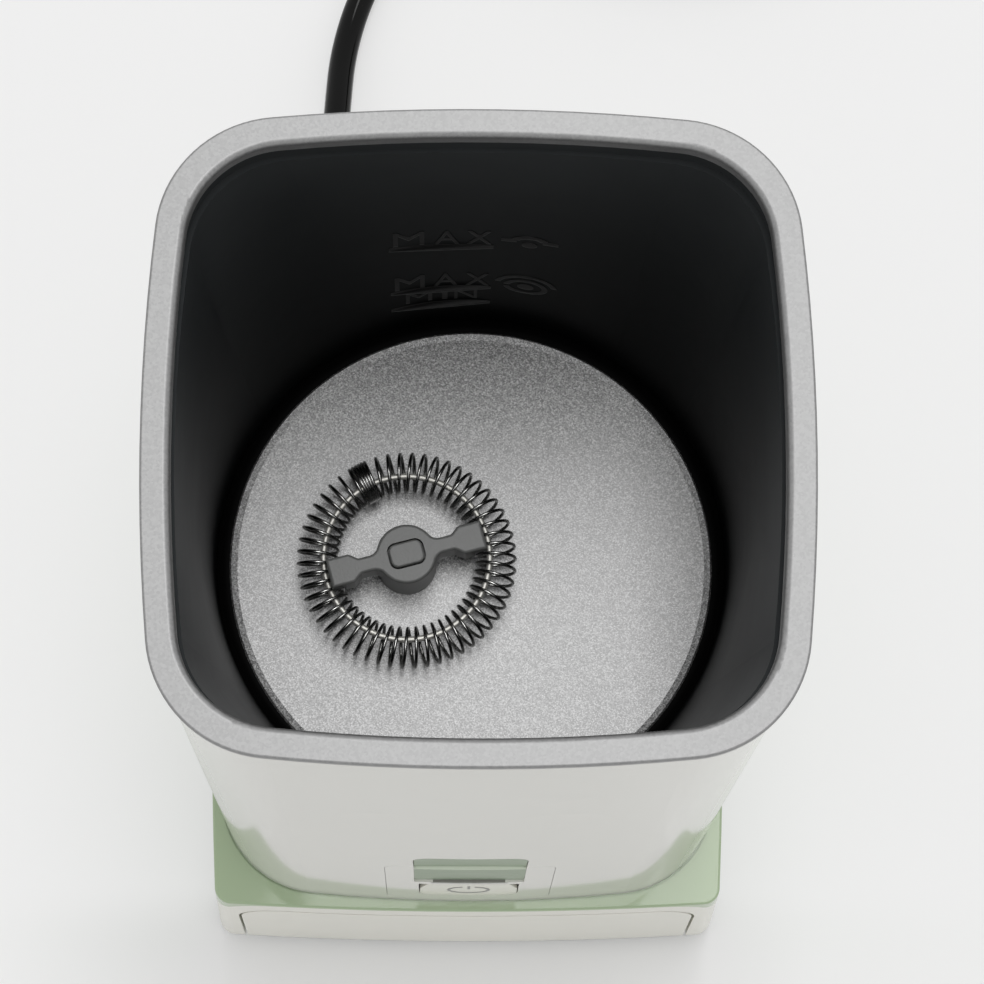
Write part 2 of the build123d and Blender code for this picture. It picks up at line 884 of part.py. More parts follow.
magnet_places = [Location((drive_x + side * drive_magnet_circle, 0)) for side in (1, -1)]
with BuildPart() as magnet_carrier:
    with BuildSketch(Plane.XY.offset(carrier_underside)):
        with Locations((drive_x, 0)):
            Circle(carrier_radius)
    extrude(amount=carrier_thickness)
    with BuildSketch(Plane.XY.offset(carrier_underside)):
        with Locations((drive_x, 0)):
            Circle(carrier_hub_radius)
    extrude(amount=-carrier_hub_height)
    with BuildSketch(Plane.XY.offset(carrier_underside - carrier_hub_height)):
        with Locations((drive_x, 0)):
            Circle(shaft_radius + shaft_fit)
    extrude(amount=carrier_hub_height + carrier_thickness - carrier_cap_height, mode=Mode.SUBTRACT)
    with BuildSketch(Plane.XY.offset(carrier_top)):
        with Locations(magnet_places):
            Circle(drive_magnet_radius + magnet_fit)
    extrude(amount=-drive_magnet_height, mode=Mode.SUBTRACT)
keep(magnet_carrier.part, "magnet_carrier")

with BuildPart() as drive_magnets:
    with BuildSketch(Plane.XY.offset(carrier_top)):
        with Locations(magnet_places):
            Circle(drive_magnet_radius)
    extrude(amount=-drive_magnet_height)
keep(drive_magnets.part, "drive_magnets")



def hub_outline():
    """Whisk hub from above: a round boss that runs into two arms, which flare towards the ring."""
    with BuildSketch() as outline:
        with BuildLine():
            for end in (1, -1):
                for side in (1, -1):
                    neck = (end * arm_neck_reach, side * arm_neck_width / 2)
                    flare = (end * arm_flare_reach, side * arm_end_width / 2)
                    tip = (end * arm_reach, side * arm_end_width / 2)
                    Line((0, side * arm_neck_width / 2), neck)
                    Line(neck, flare)
                    Line(flare, tip)
                Line((end * arm_reach, arm_end_width / 2), (end * arm_reach, -arm_end_width / 2))
        make_face()
        Circle(hub_radius)
        rings = outline.vertices().group_by(lambda vertex: round(abs(vertex.X), 3))
        fillet(rings[0], hub_blend)
    with BuildSketch() as blended:
        add(outline.sketch)
        rings = blended.vertices().group_by(lambda vertex: round(abs(vertex.X), 3))
        fillet(rings[-2] + rings[-3], arm_flare_blend)
    return blended.sketch


# Whisk hub: a tall boss with two arms that flare towards the ring
whisk_plane = Plane((drive_x, 0, 0), x_dir=(cos(radians(whisk_arm_angle)), sin(radians(whisk_arm_angle)), 0))
with BuildPart() as whisk_hub:
    with BuildSketch(whisk_plane.offset(hub_top)):
        add(hub_outline())
    extrude(amount=-arm_depth)
    fillet(whisk_hub.faces().sort_by(Axis.Z)[-1].edges(), hub_edge_radius)
    with BuildSketch(whisk_plane.offset(hub_underside)):
        Circle(hub_radius)
    extrude(amount=hub_height - arm_depth)
    with BuildSketch(whisk_plane.offset(hub_top - arm_tip_thickness)):
        with Locations((arm_tip_start, 0), (-arm_tip_start, 0)):
            Rectangle(2 * (arm_reach - arm_tip_start), 2 * arm_end_width)
        Rectangle(2 * arm_tip_start, 4 * arm_end_width, mode=Mode.SUBTRACT)
    extrude(amount=-arm_depth, mode=Mode.SUBTRACT)
    with BuildSketch(whisk_plane.offset(hub_top - arm_tip_thickness)):
        for end in (1, -1):
            with Locations((end * (ring_radius - ring_wire_radius - peg_length / 2), 0)):
                Rectangle(peg_length, peg_width)
    extrude(amount=ring_height - hub_top + arm_tip_thickness)
    with BuildSketch(whisk_plane.offset(hub_underside)):
        Circle(whisk_magnet_radius + magnet_fit)
    extrude(amount=whisk_magnet_inset + whisk_magnet_height, mode=Mode.SUBTRACT)
    with BuildSketch(whisk_plane.offset(hub_top)):
        RectangleRounded(cap_length + 2 * cap_gap, cap_width + 2 * cap_gap, cap_corner + cap_gap)
    extrude(amount=-cap_depth, mode=Mode.SUBTRACT)
keep(whisk_hub.part, "whisk_hub")

with BuildPart() as hub_cap:
    with BuildSketch(whisk_plane.offset(hub_top - cap_depth)):
        RectangleRounded(cap_length, cap_width, cap_corner)
    extrude(amount=cap_depth + cap_rise)
    fillet(hub_cap.edges().group_by(Axis.Z)[-1], cap_round)
keep(hub_cap.part, "hub_cap")

with BuildPart() as whisk_magnet:
    with BuildSketch(whisk_plane.offset(hub_underside + whisk_magnet_inset)):
        Circle(whisk_magnet_radius)
    extrude(amount=whisk_magnet_height)
keep(whisk_magnet.part, "whisk_magnet")

with BuildPart() as whisk_ring:
    with BuildSketch(Plane.XZ):
        with Locations((drive_x + ring_radius, ring_height)):
            Circle(ring_wire_radius)
    revolve(axis=Axis((drive_x, 0, 0), (0, 0, 1)))
keep(whisk_ring.part, "whisk_ring")

# Spring of the whisk: one wire wound round the ring, its turns passing midway on each side of an arm
crossing_share = 1 / 3
coil_start_angle = whisk_arm_angle + (coil_joint_pitches + 0.5 - crossing_share) * coil_pitch_angle


def coil_point(turn):
    """Point of the spring after a number of turns."""
    angle = radians(coil_start_angle + turn * coil_pitch_angle)
    phase = 2 * pi * turn
    reach = coil_radius + coil_minor_radius * cos(phase)
    return Vector(
        drive_x + reach * cos(angle), reach * sin(angle), coil_height + coil_minor_radius * sin(phase)
    )


coil_edges = wound_edges(coil_point, 0, coil_turns, 2 * coil_turns)
coil_path = Wire(coil_edges)
with BuildPart() as whisk_coil:
    with BuildSketch(Plane(coil_path @ 0, z_dir=coil_path % 0)):
        RegularPolygon(coil_wire_radius, coil_sides)
    sweep(path=coil_path)
keep(whisk_coil.part, "whisk_coil")
coil_gap = least_gap(coil_edges, coil_wire_radius, 2 * pi * coil_minor_radius)
print("spring turns", coil_turns, "least gap", round(coil_gap, 2))

# Button plate: flush in the front wall, held by a flange behind it, with a seat for the finger rest
plate_back = body_wall + button_flange_thickness
switch_height = (button_low + button_high) / 2
switch_board_front = jacket_depth(switch_height) - switch_board_setback
with BuildPart() as button_plate:
    add(jacket_skin(0, body_wall, plate_outline(0)))
    with BuildSketch(Plane.XZ):
        add(rest_outline(0))
    extrude(amount=2 * body_foot_half_depth, mode=Mode.SUBTRACT)
    add(jacket_skin(body_wall, plate_back, plate_outline(button_flange_width)))
    with BuildSketch(Plane.XZ):
        add(window_outline(button_gap, button_high + button_gap))
        add(light_outline(light_fit))
    extrude(amount=2 * body_foot_half_depth, mode=Mode.SUBTRACT)
    with BuildSketch(Plane.XZ.offset(switch_board_front)):
        with Locations((switch_post_x, switch_height), (-switch_post_x, switch_height)):
            Circle(switch_post_radius)
    extrude(amount=jacket_depth(switch_height) - plate_back - switch_board_front)
    with BuildSketch(Plane.XZ.offset(switch_board_front)):
        with Locations((switch_post_x, switch_height), (-switch_post_x, switch_height)):
            Circle(screw_radius + screw_gap)
    extrude(amount=screw_depth, mode=Mode.SUBTRACT)
keep(button_plate.part, "button_plate")

# Finger rest: a moulded inlay over the button, with one step across its face
rest_upper_face = jacket_depth(button_plate_top) - rest_upper_sink
rest_lower_face = rest_upper_face + rest_step_depth
with BuildPart() as finger_rest:
    add(jacket_skin(0, body_wall, rest_outline(rest_fit)))
    for low, high, face in (
        (rest_step_height, button_plate_top, rest_upper_face),
        (rest_low, rest_step_height, rest_lower_face),
    ):
        with BuildSketch(Plane.XZ.offset(face)):
            with Locations((0, (low + high) / 2)):
                Rectangle(2 * rest_half_width, high - low)
        extrude(amount=body_foot_half_depth, mode=Mode.SUBTRACT)
keep(finger_rest.part, "finger_rest")

with BuildPart() as power_button:
    add(jacket_skin(0, button_thickness, button_outline()))
    stop_outline = window_outline(button_gap + button_stop_width, button_high - button_shoulder_height)
    add(jacket_skin(plate_back + button_stop_gap, button_thickness, stop_outline))
    with BuildSketch(Plane.XZ.offset(switch_board_front + switch_depth + switch_plunger_length / 2)):
        with Locations((0, switch_height)):
            Circle(button_stem_radius)
    extrude(
        amount=jacket_depth(switch_height)
        - button_thickness / 2
        - switch_board_front
        - switch_depth
        - switch_plunger_length / 2
    )
keep(power_button.part, "power_button")

with BuildPart() as light_bar:
    add(jacket_skin(0, plate_back, light_outline(0)))
keep(light_bar.part, "light_bar")

with BuildPart() as switch_board:
    with BuildSketch(Plane.XZ.offset(switch_board_front)):
        with Locations((0, switch_height)):
            Rectangle(2 * switch_board_half_width, switch_board_height)
        with Locations((switch_post_x, switch_height), (-switch_post_x, switch_height)):
            Circle(screw_radius + screw_gap, mode=Mode.SUBTRACT)
    extrude(amount=-switch_board_thickness)
keep(switch_board.part, "switch_board")

with BuildPart() as switch_screws:
    with BuildSketch(Plane.XZ.offset(switch_board_front - switch_board_thickness)):
        with Locations((switch_post_x, switch_height), (-switch_post_x, switch_height)):
            Circle(screw_head_radius)
    extrude(amount=-screw_head_height)
    with BuildSketch(Plane.XZ.offset(switch_board_front - switch_board_thickness)):
        with Locations((switch_post_x, switch_height), (-switch_post_x, switch_height)):
            Circle(screw_radius)
    extrude(amount=switch_board_thickness + screw_depth - screw_gap)
keep(switch_screws.part, "switch_screws")

with BuildPart() as tact_switch:
    with BuildSketch(Plane.XZ.offset(switch_board_front)):
        with Locations((0, switch_height)):
            Rectangle(switch_size, switch_size)
    extrude(amount=switch_depth)
    with BuildSketch(Plane.XZ.offset(switch_board_front + switch_depth)):
        with Locations((0, switch_height)):
            Circle(switch_plunger_radius + switch_plunger_gap)
    extrude(amount=-switch_plunger_length / 2 - button_travel - switch_plunger_gap, mode=Mode.SUBTRACT)
keep(tact_switch.part, "tact_switch")

with BuildPart() as switch_plunger:
    with BuildSketch(Plane.XZ.offset(switch_board_front + switch_depth - switch_plunger_length / 2)):
        with Locations((0, switch_height)):
            Circle(switch_plunger_radius)
    extrude(amount=switch_plunger_length)
keep(switch_plunger.part, "switch_plunger")

# Base: a moulded block, open below, with a collar that centres the jacket and posts for the motor bracket
rods = PolarLocations(rod_circle, rod_count, rod_first_angle).locations
cover_corners = GridLocations(2 * cover_screw_x, 2 * cover_screw_y, 2, 2).locations
feet_corners = GridLocations(2 * foot_x, 2 * foot_y, 2, 2).locations


def front_skin():
    """Front of the base down to the thickness of the fascia, wrapping a little round its corners."""
    with BuildPart() as skin:
        add(base_block(0, 0, base_corner, deck_height))
        inner_corner = base_corner - fascia_thickness
        inner = base_block(fascia_thickness, fascia_thickness, inner_corner, deck_height)
        add(inner, mode=Mode.SUBTRACT)
        with BuildSketch(Plane.XZ.offset(base_foot_half_depth - fascia_return)):
            add(arched(base_foot_half_width, fascia_top, fascia_corner))
        extrude(amount=base_foot_half_depth, mode=Mode.INTERSECT)
    return skin.part


def collar():
    """Upstand of the deck just inside the foot of the jacket, open behind the button plate."""
    with BuildPart() as ring:
        add(jacket(body_wall + collar_gap))
        add(jacket(body_wall + collar_gap + collar_thickness), mode=Mode.SUBTRACT)
        with BuildSketch(Plane.XY.offset(deck_height)):
            Rectangle(4 * body_foot_half_width, 4 * body_foot_half_depth)
            with Locations((0, -body_foot_half_depth)):
                Rectangle(2 * collar_gap_half_width, body_foot_half_depth, mode=Mode.SUBTRACT)
        extrude(amount=collar_height, mode=Mode.INTERSECT)
    return ring.part


def jacket_foot(grow):
    """Outline of the jacket where it stands on the deck, grown outwards."""
    return bowed_outline(
        body_foot_half_width + grow, body_foot_half_depth + grow, body_foot_corner + grow, body_bow
    )


with BuildPart() as base_housing:
    add(base_block(0, 0, base_corner, deck_height))
    fillet(base_housing.faces().sort_by(Axis.Z)[-1].edges(), deck_edge_radius)
    add(base_block(base_side_wall, base_end_wall, cavity_corner, deck_underside), mode=Mode.SUBTRACT)
    add(front_skin(), mode=Mode.SUBTRACT)
    add(collar())
    with BuildSketch(Plane.XY.offset(deck_height)):
        add(jacket_foot(groove_width))
        add(jacket_foot(0), mode=Mode.SUBTRACT)
    extrude(amount=-groove_depth, mode=Mode.SUBTRACT)
    with BuildSketch(Plane.XY.offset(deck_underside)):
        with Locations((drive_x, 0)):
            Circle(deck_opening_radius)
        with Locations(rods):
            Circle(rod_radius + rod_hole_gap)
    extrude(amount=deck_thickness, mode=Mode.SUBTRACT)
    with BuildSketch(Plane.XY.offset(deck_height)):
        with Locations(bracket_corners):
            Circle(post_radius)
    extrude(amount=post_top - deck_height)
    with BuildSketch(Plane.XY.offset(post_top)):
        with Locations(bracket_corners):
            Circle(screw_radius + screw_gap)
    extrude(amount=-screw_depth, mode=Mode.SUBTRACT)
    with BuildSketch(Plane.XY.offset(cover_top)):
        with Locations(cover_corners):
            Circle(cover_boss_radius)
    extrude(amount=deck_underside - cover_top)
    with BuildSketch(Plane.XY.offset(cover_top)):
        with Locations(cover_corners):
            Circle(screw_radius + screw_gap)
    extrude(amount=screw_depth, mode=Mode.SUBTRACT)
    with BuildSketch(Plane.XZ):
        with Locations((gland_x, gland_height)):
            Circle(gland_wide_radius + gland_wall_gap)
    extrude(amount=-2 * base_foot_half_depth, mode=Mode.SUBTRACT)
keep(base_housing.part, "base_housing")

with BuildPart() as base_fascia:
    add(front_skin())
    with BuildSketch(Plane.XZ):
        add(arched(panel_half_width + panel_gap, panel_top + panel_gap, panel_corner + panel_gap))
    extrude(amount=2 * base_foot_half_depth, mode=Mode.SUBTRACT)
keep(base_fascia.part, "base_fascia")

with BuildPart() as front_panel:
    add(front_skin())
    with BuildSketch(Plane.XZ):
        add(arched(panel_half_width, panel_top, panel_corner))
    extrude(amount=2 * base_foot_half_depth, mode=Mode.INTERSECT)
keep(front_panel.part, "front_panel")

# Tie rods from the vessel's flange down through the deck
rod_foot = deck_underside - rod_nut_height - rod_tail
with BuildPart() as tie_rods:
    with BuildSketch(Plane.XY.offset(rod_foot)):
        with Locations(rods):
            Circle(rod_radius)
    extrude(amount=flange_underside - rod_foot)
keep(tie_rods.part, "tie_rods")

with BuildPart() as tie_nuts:
    with BuildSketch(Plane.XY.offset(deck_underside)):
        with Locations(rods):
            RegularPolygon(rod_nut_across / 2, 6, major_radius=False)
            Circle(rod_radius + nut_fit, mode=Mode.SUBTRACT)
    extrude(amount=-rod_nut_height)
keep(tie_nuts.part, "tie_nuts")

# Underside: cover, its screws, the feet and the control board on its posts
with BuildPart() as bottom_cover:
    with BuildSketch(Plane.XY.offset(foot_height)):
        add(
            bowed_outline(
                base_foot_half_width - base_side_wall - cover_gap,
                base_foot_half_depth - base_end_wall - cover_gap,
                cavity_corner,
                base_bow,
            )
        )
        with Locations(feet_corners):
            Circle(foot_stem_radius + foot_fit, mode=Mode.SUBTRACT)
        with Locations(cover_corners):
            Circle(screw_radius + screw_gap, mode=Mode.SUBTRACT)
    extrude(amount=cover_thickness)
    with BuildSketch(Plane.XY.offset(foot_height)):
        with Locations(cover_corners):
            Circle(screw_head_radius + cover_sink_gap)
    extrude(amount=cover_sink_depth, mode=Mode.SUBTRACT)
    with BuildSketch(Plane.XY.offset(cover_top)):
        with Locations(board_corners):
            Circle(board_post_radius)
            Circle(screw_radius + screw_gap, mode=Mode.SUBTRACT)
    extrude(amount=board_rise)
keep(bottom_cover.part, "bottom_cover")

cover_screw_reach = cover_thickness - cover_sink_depth + screw_depth - screw_gap
keep(screws(cover_corners, foot_height + cover_sink_depth, cover_screw_reach, False), "cover_screws")

with BuildPart() as rubber_feet:
    with BuildSketch():
        with Locations(feet_corners):
            Circle(foot_radius)
    extrude(amount=foot_height)
    fillet(rubber_feet.edges().group_by(Axis.Z)[0], foot_edge_radius)
    with BuildSketch(Plane.XY.offset(foot_height)):
        with Locations(feet_corners):
            Circle(foot_stem_radius)
    extrude(amount=cover_thickness)
keep(rubber_feet.part, "rubber_feet")

with BuildPart() as control_board:
    with BuildSketch(Plane.XY.offset(board_height)):
        Rectangle(board_length, board_depth)
        with Locations(board_corners):
            Circle(screw_radius + screw_gap, mode=Mode.SUBTRACT)
    extrude(amount=board_thickness)
keep(control_board.part, "control_board")
keep(screws(board_corners, board_top, board_thickness + board_rise - screw_gap, True), "board_screws")

for block_name, size, place in (
    ("board_transformer", transformer_size, transformer_place),
    ("board_relay", relay_size, relay_place),
):
    with BuildPart() as block:
        with BuildSketch(Plane.XY.offset(board_top)):
            with Locations(place):
                Rectangle(size[0], size[1])
        extrude(amount=size[2])
    keep(block.part, block_name)

with BuildPart() as board_capacitor:
    with BuildSketch(Plane.XY.offset(board_top)):
        with Locations(capacitor_place):
            Circle(capacitor_radius)
    extrude(amount=capacitor_height)
keep(board_capacitor.part, "board_capacitor")

# Strain relief in the back wall
wall_outer = base_depth(gland_height)
wall_inner = wall_outer - base_end_wall
collar_face = wall_outer + gland_face_gap
inner_face = wall_inner - gland_inner_gap
taper_start = collar_face + gland_collar_thickness
gland_end = taper_start + gland_length
with BuildPart() as cord_gland:
    with BuildSketch(Plane.YZ.offset(gland_x)):
        with BuildLine():
            Polyline(
                (inner_face - gland_collar_thickness, gland_height),
                (inner_face - gland_collar_thickness, gland_height + gland_inner_radius),
                (inner_face, gland_height + gland_inner_radius),
                (inner_face, gland_height + gland_wide_radius),
                (collar_face, gland_height + gland_wide_radius),
                (collar_face, gland_height + gland_collar_radius),
                (taper_start, gland_height + gland_collar_radius),
                (taper_start, gland_height + gland_wide_radius),
                (gland_end, gland_height + gland_narrow_radius),
                (gland_end, gland_height),
                close=True,
            )
        make_face()
    revolve(axis=Axis((gland_x, 0, gland_height), (0, 1, 0)))
keep(cord_gland.part, "cord_gland")

# Put-away length: a flat coil in two layers, spiralling in below and out again above
loop_turns = 2 * layer_turns + climb_turns
inmost_radius = loop_radius - loop_pitch * loop_turns / 4


def loop_point(turn):
    """Point of the coiled lead after a number of turns."""
    climbed = min(max((turn - layer_turns) / climb_turns, 0), 1)
    reach = inmost_radius + loop_pitch * abs(turn - loop_turns / 2)
    angle = radians(loop_start_angle - 360 * turn)
    return Vector(
        gland_x + loop_offset[0] + reach * cos(angle),
        gland_end + loop_offset[1] + reach * sin(angle),
        cord_radius + layer_step * (1 - cos(pi * climbed)) / 2,
    )


quarter_turns = round(4 * layer_turns) + 1
loop_edges = wound_edges(loop_point, 0, layer_turns, quarter_turns)
loop_edges += wound_edges(loop_point, layer_turns, layer_turns + climb_turns, 2)
loop_edges += wound_edges(loop_point, layer_turns + climb_turns, loop_turns, quarter_turns)
loop_in_way = loop_edges[0] % 0
loop_out_way = loop_edges[-1] % 1
loop_entry = loop_point(0) - loop_in_way * 2 * cord_radius
loop_exit = loop_point(loop_turns) + loop_out_way * loop_tail
loop_path = Wire(
    [
        Edge.make_line(loop_entry, loop_point(0)),
        *loop_edges,
        Edge.make_line(loop_point(loop_turns), loop_exit),
    ]
)
with BuildPart() as cord_coil:
    with BuildSketch(Plane(loop_entry, z_dir=loop_in_way)):
        RegularPolygon(cord_radius, cord_sides)
    sweep(path=loop_path)
keep(cord_coil.part, "cord_coil")
loop_gap = least_gap(loop_edges, cord_radius, 2 * pi * loop_radius)
print("lead turns", round(loop_turns, 2), "least gap", round(loop_gap, 2))

# Free stretch of the lead, from the strain relief along the floor to the coil
cord_route = [
    Vector(gland_x, gland_end, gland_height),
    *[Vector(gland_x + aside, gland_end + behind, height) for aside, behind, height in lead_drop],
    loop_entry - loop_in_way * lead_in,
    loop_entry,
]
bend_radii = []
for before, corner, after in zip(cord_route, cord_route[1:], cord_route[2:]):
    half_turn = radians((corner - before).get_angle(after - corner)) / 2
    shorter_run = min((corner - before).length, (after - corner).length)
    bend_radii.append(bend_share * shorter_run / tan(half_turn))
with BuildPart() as power_cord:
    with BuildLine() as cord_line:
        FilletPolyline(*cord_route, radius=bend_radii)
    with BuildSketch(Plane(cord_route[0], z_dir=(0, 1, 0))):
        RegularPolygon(cord_radius, cord_sides)
    sweep()
keep(power_cord.part, "power_cord")
cord_section = cord_sides * cord_radius**2 * sin(2 * pi / cord_sides) / 2
cord_length = sum(edge.length for edge in cord_line.edges())
print("lead bend radii", [round(radius) for radius in bend_radii])
print("lead volume", round(power_cord.part.volume), "of", round(cord_section * cord_length))
print("lead length", round(cord_length + loop_path.length))

# Plug at the end of the coil, lying on the floor
plug_plane = Plane(loop_exit, x_dir=loop_out_way.cross(Vector(0, 0, 1)), z_dir=loop_out_way)
plug_height = 2 * (cord_radius + layer_step)
with BuildPart() as plug_body:
    with BuildSketch(plug_plane):
        RectangleRounded(plug_neck_width, plug_neck_height, plug_neck_corner)
    with BuildSketch(plug_plane.offset(plug_neck_length)):
        RectangleRounded(plug_width, plug_height, plug_corner)
    loft()
    with BuildSketch(plug_plane.offset(plug_neck_length)):
        RectangleRounded(plug_width, plug_height, plug_corner)
    extrude(amount=plug_length)
keep(plug_body.part, "plug_body")

with BuildPart() as plug_pins:
    with BuildSketch(plug_plane.offset(plug_neck_length + plug_length)):
        with GridLocations(pin_spacing, 0, 2, 1):
            Circle(pin_radius)
    extrude(amount=pin_length)
    pin_edges = plug_pins.edges().filter_by(GeomType.CIRCLE).sort_by(Axis(loop_exit, loop_out_way))
    fillet(pin_edges[-2:], pin_round)
keep(plug_pins.part, "plug_pins")
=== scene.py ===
"""Milk frother: finishes, mains lead, whisk spring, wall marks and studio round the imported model."""

import math

import bmesh
import bpy
from bpy.props import FloatProperty, FloatVectorProperty, IntProperty, PointerProperty
from mathutils import Matrix, Vector
from mathutils.bvhtree import BVHTree


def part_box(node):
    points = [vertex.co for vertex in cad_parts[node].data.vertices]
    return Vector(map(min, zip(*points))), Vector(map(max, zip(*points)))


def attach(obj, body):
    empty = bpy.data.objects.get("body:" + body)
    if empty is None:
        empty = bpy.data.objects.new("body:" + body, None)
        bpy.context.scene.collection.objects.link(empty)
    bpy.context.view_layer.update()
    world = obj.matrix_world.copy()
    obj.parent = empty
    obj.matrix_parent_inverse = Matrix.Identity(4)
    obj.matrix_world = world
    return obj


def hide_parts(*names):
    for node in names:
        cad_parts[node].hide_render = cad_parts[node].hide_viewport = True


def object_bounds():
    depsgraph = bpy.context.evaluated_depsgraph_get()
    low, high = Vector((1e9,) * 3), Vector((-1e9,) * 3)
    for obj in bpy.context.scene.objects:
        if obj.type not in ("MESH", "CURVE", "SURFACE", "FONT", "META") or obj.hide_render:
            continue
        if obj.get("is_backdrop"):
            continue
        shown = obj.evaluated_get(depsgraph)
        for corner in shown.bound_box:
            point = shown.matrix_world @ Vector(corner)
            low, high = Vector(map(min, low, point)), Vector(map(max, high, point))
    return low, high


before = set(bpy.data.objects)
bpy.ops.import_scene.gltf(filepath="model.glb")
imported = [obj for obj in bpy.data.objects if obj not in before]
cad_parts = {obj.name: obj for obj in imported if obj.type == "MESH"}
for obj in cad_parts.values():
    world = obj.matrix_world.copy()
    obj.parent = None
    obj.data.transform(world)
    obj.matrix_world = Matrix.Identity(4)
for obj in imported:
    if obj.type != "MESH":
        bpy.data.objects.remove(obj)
cad_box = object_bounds()

bl_info = {
    "name": "Milk frother",
    "version": (1, 0, 0),
    "blender": (4, 5, 0),
    "location": "3D View > Sidebar > Frother",
    "description": "Dresses the packed milk frother and sets up its studio",
    "category": "Object",
}

MM = 0.001

# Height of a surface grain at full strength
BUMP_REACH = 0.1 * MM


def colour(name, description, default):
    """Colour property with the usual limits."""
    return FloatVectorProperty(
        name=name, description=description, default=default, subtype="COLOR", min=0.0, max=1.0, size=3
    )


def length(name, description, default):
    """Length property in metres."""
    return FloatProperty(name=name, description=description, default=default, unit="LENGTH", precision=5)


def amount(name, description, default):
    """Plain number property."""
    return FloatProperty(name=name, description=description, default=default, precision=4)


class FrotherColours(bpy.types.PropertyGroup):
    """Colours of the outside"""

    white: colour("White", "Jacket and button plate", (0.71, 0.705, 0.66))
    speckle: colour("Speckled coating", "Floor of the vessel", (0.347, 0.347, 0.347))
    rim: colour("Rim coating", "Rim of the vessel", (0.272, 0.272, 0.272))
    black_coating: colour("Black coating", "Inner wall of the vessel", (0.025, 0.027, 0.028))
    green: colour("Pastel green", "Base", (0.375, 0.47, 0.305))
    cream: colour("Cream", "Front panel, its surround and the button", (0.75, 0.74, 0.665))
    # Painted shade: the finger rest's own green is drawn darker than the base, for the shade on its upright
    # faces.
    shaded_inlay: colour("Inlay green", "Finger rest over the button", (0.2, 0.27, 0.17))
    # Painted light: the finger rest's level ledge is drawn far paler than its green, for the light falling on
    # its upward faces.
    lit_ledge: colour("Ledge green", "Ledge across the finger rest", (0.72, 0.78, 0.66))
    whisk: colour("Whisk plastic", "Hub and arms of the whisk", (0.2, 0.203, 0.198))
    wire: colour("Spring wire", "Spring of the whisk", (0.4, 0.4, 0.39))
    ring: colour("Ring wire", "Ring of the whisk", (0.85, 0.84, 0.79))
    lead: colour("Mains lead", "Lead, strain relief and plug", (0.002, 0.0021, 0.002))
    symbol: colour("Printed symbol", "Power symbol on the button", (0.2, 0.2, 0.19))


class FrotherLead(bpy.types.PropertyGroup):
    """Mains lead"""

    diameter: length("Diameter", "Thickness of the lead", 0.0052)
    points_per_turn: IntProperty(name="Points per turn", description="Control points in a turn", default=14)
    rib_count: IntProperty(name="Ribs", description="Ribs along the strain relief", default=7)
    rib_depth: length("Rib depth", "Depth of the grooves between the ribs", 0.0007)


class FrotherSpring(bpy.types.PropertyGroup):
    """Spring of the whisk"""

    ring_radius: length("Ring radius", "Radius of the ring that the spring is bent to", 0.0146)
    turn_radius: length("Turn radius", "Radius of one turn", 0.00325)
    wire_radius: length("Wire radius", "Half the thickness of the wire", 0.000275)
    open_turns: IntProperty(name="Open turns", description="Turns with a gap between them", default=53)
    close_turns: IntProperty(name="Close turns", description="Turns wound tight at the joint", default=5)
    close_pitch: amount("Close pitch", "Angle of a tight turn, in degrees", 1.8)
    joint_angle: amount("Joint angle", "Where the tight turns begin, in degrees", 113.5)
    points_per_turn: IntProperty(name="Points per turn", description="Points in a turn", default=20)


class FrotherMarks(bpy.types.PropertyGroup):
    """Fill marks on the back wall of the vessel"""

    left: length("Left end", "Left end of the fill lines", -0.0133)
    right: length("Right end", "Right end of the fill lines", 0.0029)
    relief: length("Relief", "How far the marks stand off the wall", 0.00008)
    # Painted highlight: a pale strip under each mark stands for the lit lower edge of its engraved stroke.
    highlight_lip: length("Lip", "Width of the pale edge under each mark", 0.00035)
    symbol_middle: length("Symbol middle", "Middle of the whisk symbols", 0.0084)


class FrotherStage(bpy.types.PropertyGroup):
    """Camera, lamps and floor"""

    camera_place: FloatVectorProperty(
        name="Camera",
        description="Place of the camera",
        default=(-0.005767, -0.098741, 0.582743),
        unit="LENGTH",
    )
    pitch: amount("Pitch", "How far the camera looks down, in degrees", 77.513)
    yaw: amount("Yaw", "How far the camera looks to the right, in degrees", 4.747)
    roll: amount("Roll", "How far the camera is tilted, in degrees", 4.877)
    focal_share: amount("Focal share", "Focal length over the picture's width", 3100 / 984)
    floor: colour("Floor", "Pale floor", (0.86, 0.86, 0.86))
    floor_radius: length("Floor radius", "Radius of the floor", 4.0)
    floor_lift: amount("Floor lift", "Share of the floor that shows its plain colour to the camera", 0.55)
    lift_start: length("Lift start", "How far forward the floor is lifted", -0.057)
    lift_full: length("Lift full", "Where the lift is full", -0.045)
    sky: amount("Sky", "Strength of the even light", 0.72)
    surround: amount("Surround", "Brightness of the pale room in glossy surfaces", 0.88)
    key: amount("Key", "Power of the lamp overhead, in watts", 7.0)
    key_place: FloatVectorProperty(
        name="Key place",
        description="Place of the lamp overhead",
        default=(0.0715, 0.35, 1.45),
        unit="LENGTH",
    )
    key_width: length("Key width", "Width of the lamp overhead", 0.357)
    key_depth: length("Key depth", "Size of the lamp overhead from front to back", 1.1)


class FrotherSettings(bpy.types.PropertyGroup):
    """Everything that the frother's operators read"""

    colours: PointerProperty(type=FrotherColours)
    lead: PointerProperty(type=FrotherLead)
    spring: PointerProperty(type=FrotherSpring)
    marks: PointerProperty(type=FrotherMarks)
    stage: PointerProperty(type=FrotherStage)


def settings():
    return bpy.context.scene.frother


def add_node(tree, kind, **values):
    """New shader node with some of its values set."""
    node = tree.nodes.new(kind)
    for name, value in values.items():
        setattr(node, name, value)
    return node


def link(tree, source, target):
    tree.links.new(source, target)


def sum_of(tree, first, second, factor):
    """first + second * factor as a socket."""
    node = add_node(tree, "ShaderNodeMath", operation="MULTIPLY_ADD")
    link(tree, second, node.inputs[0])
    link(tree, factor, node.inputs[1])
    link(tree, first, node.inputs[2])
    return node.outputs[0]


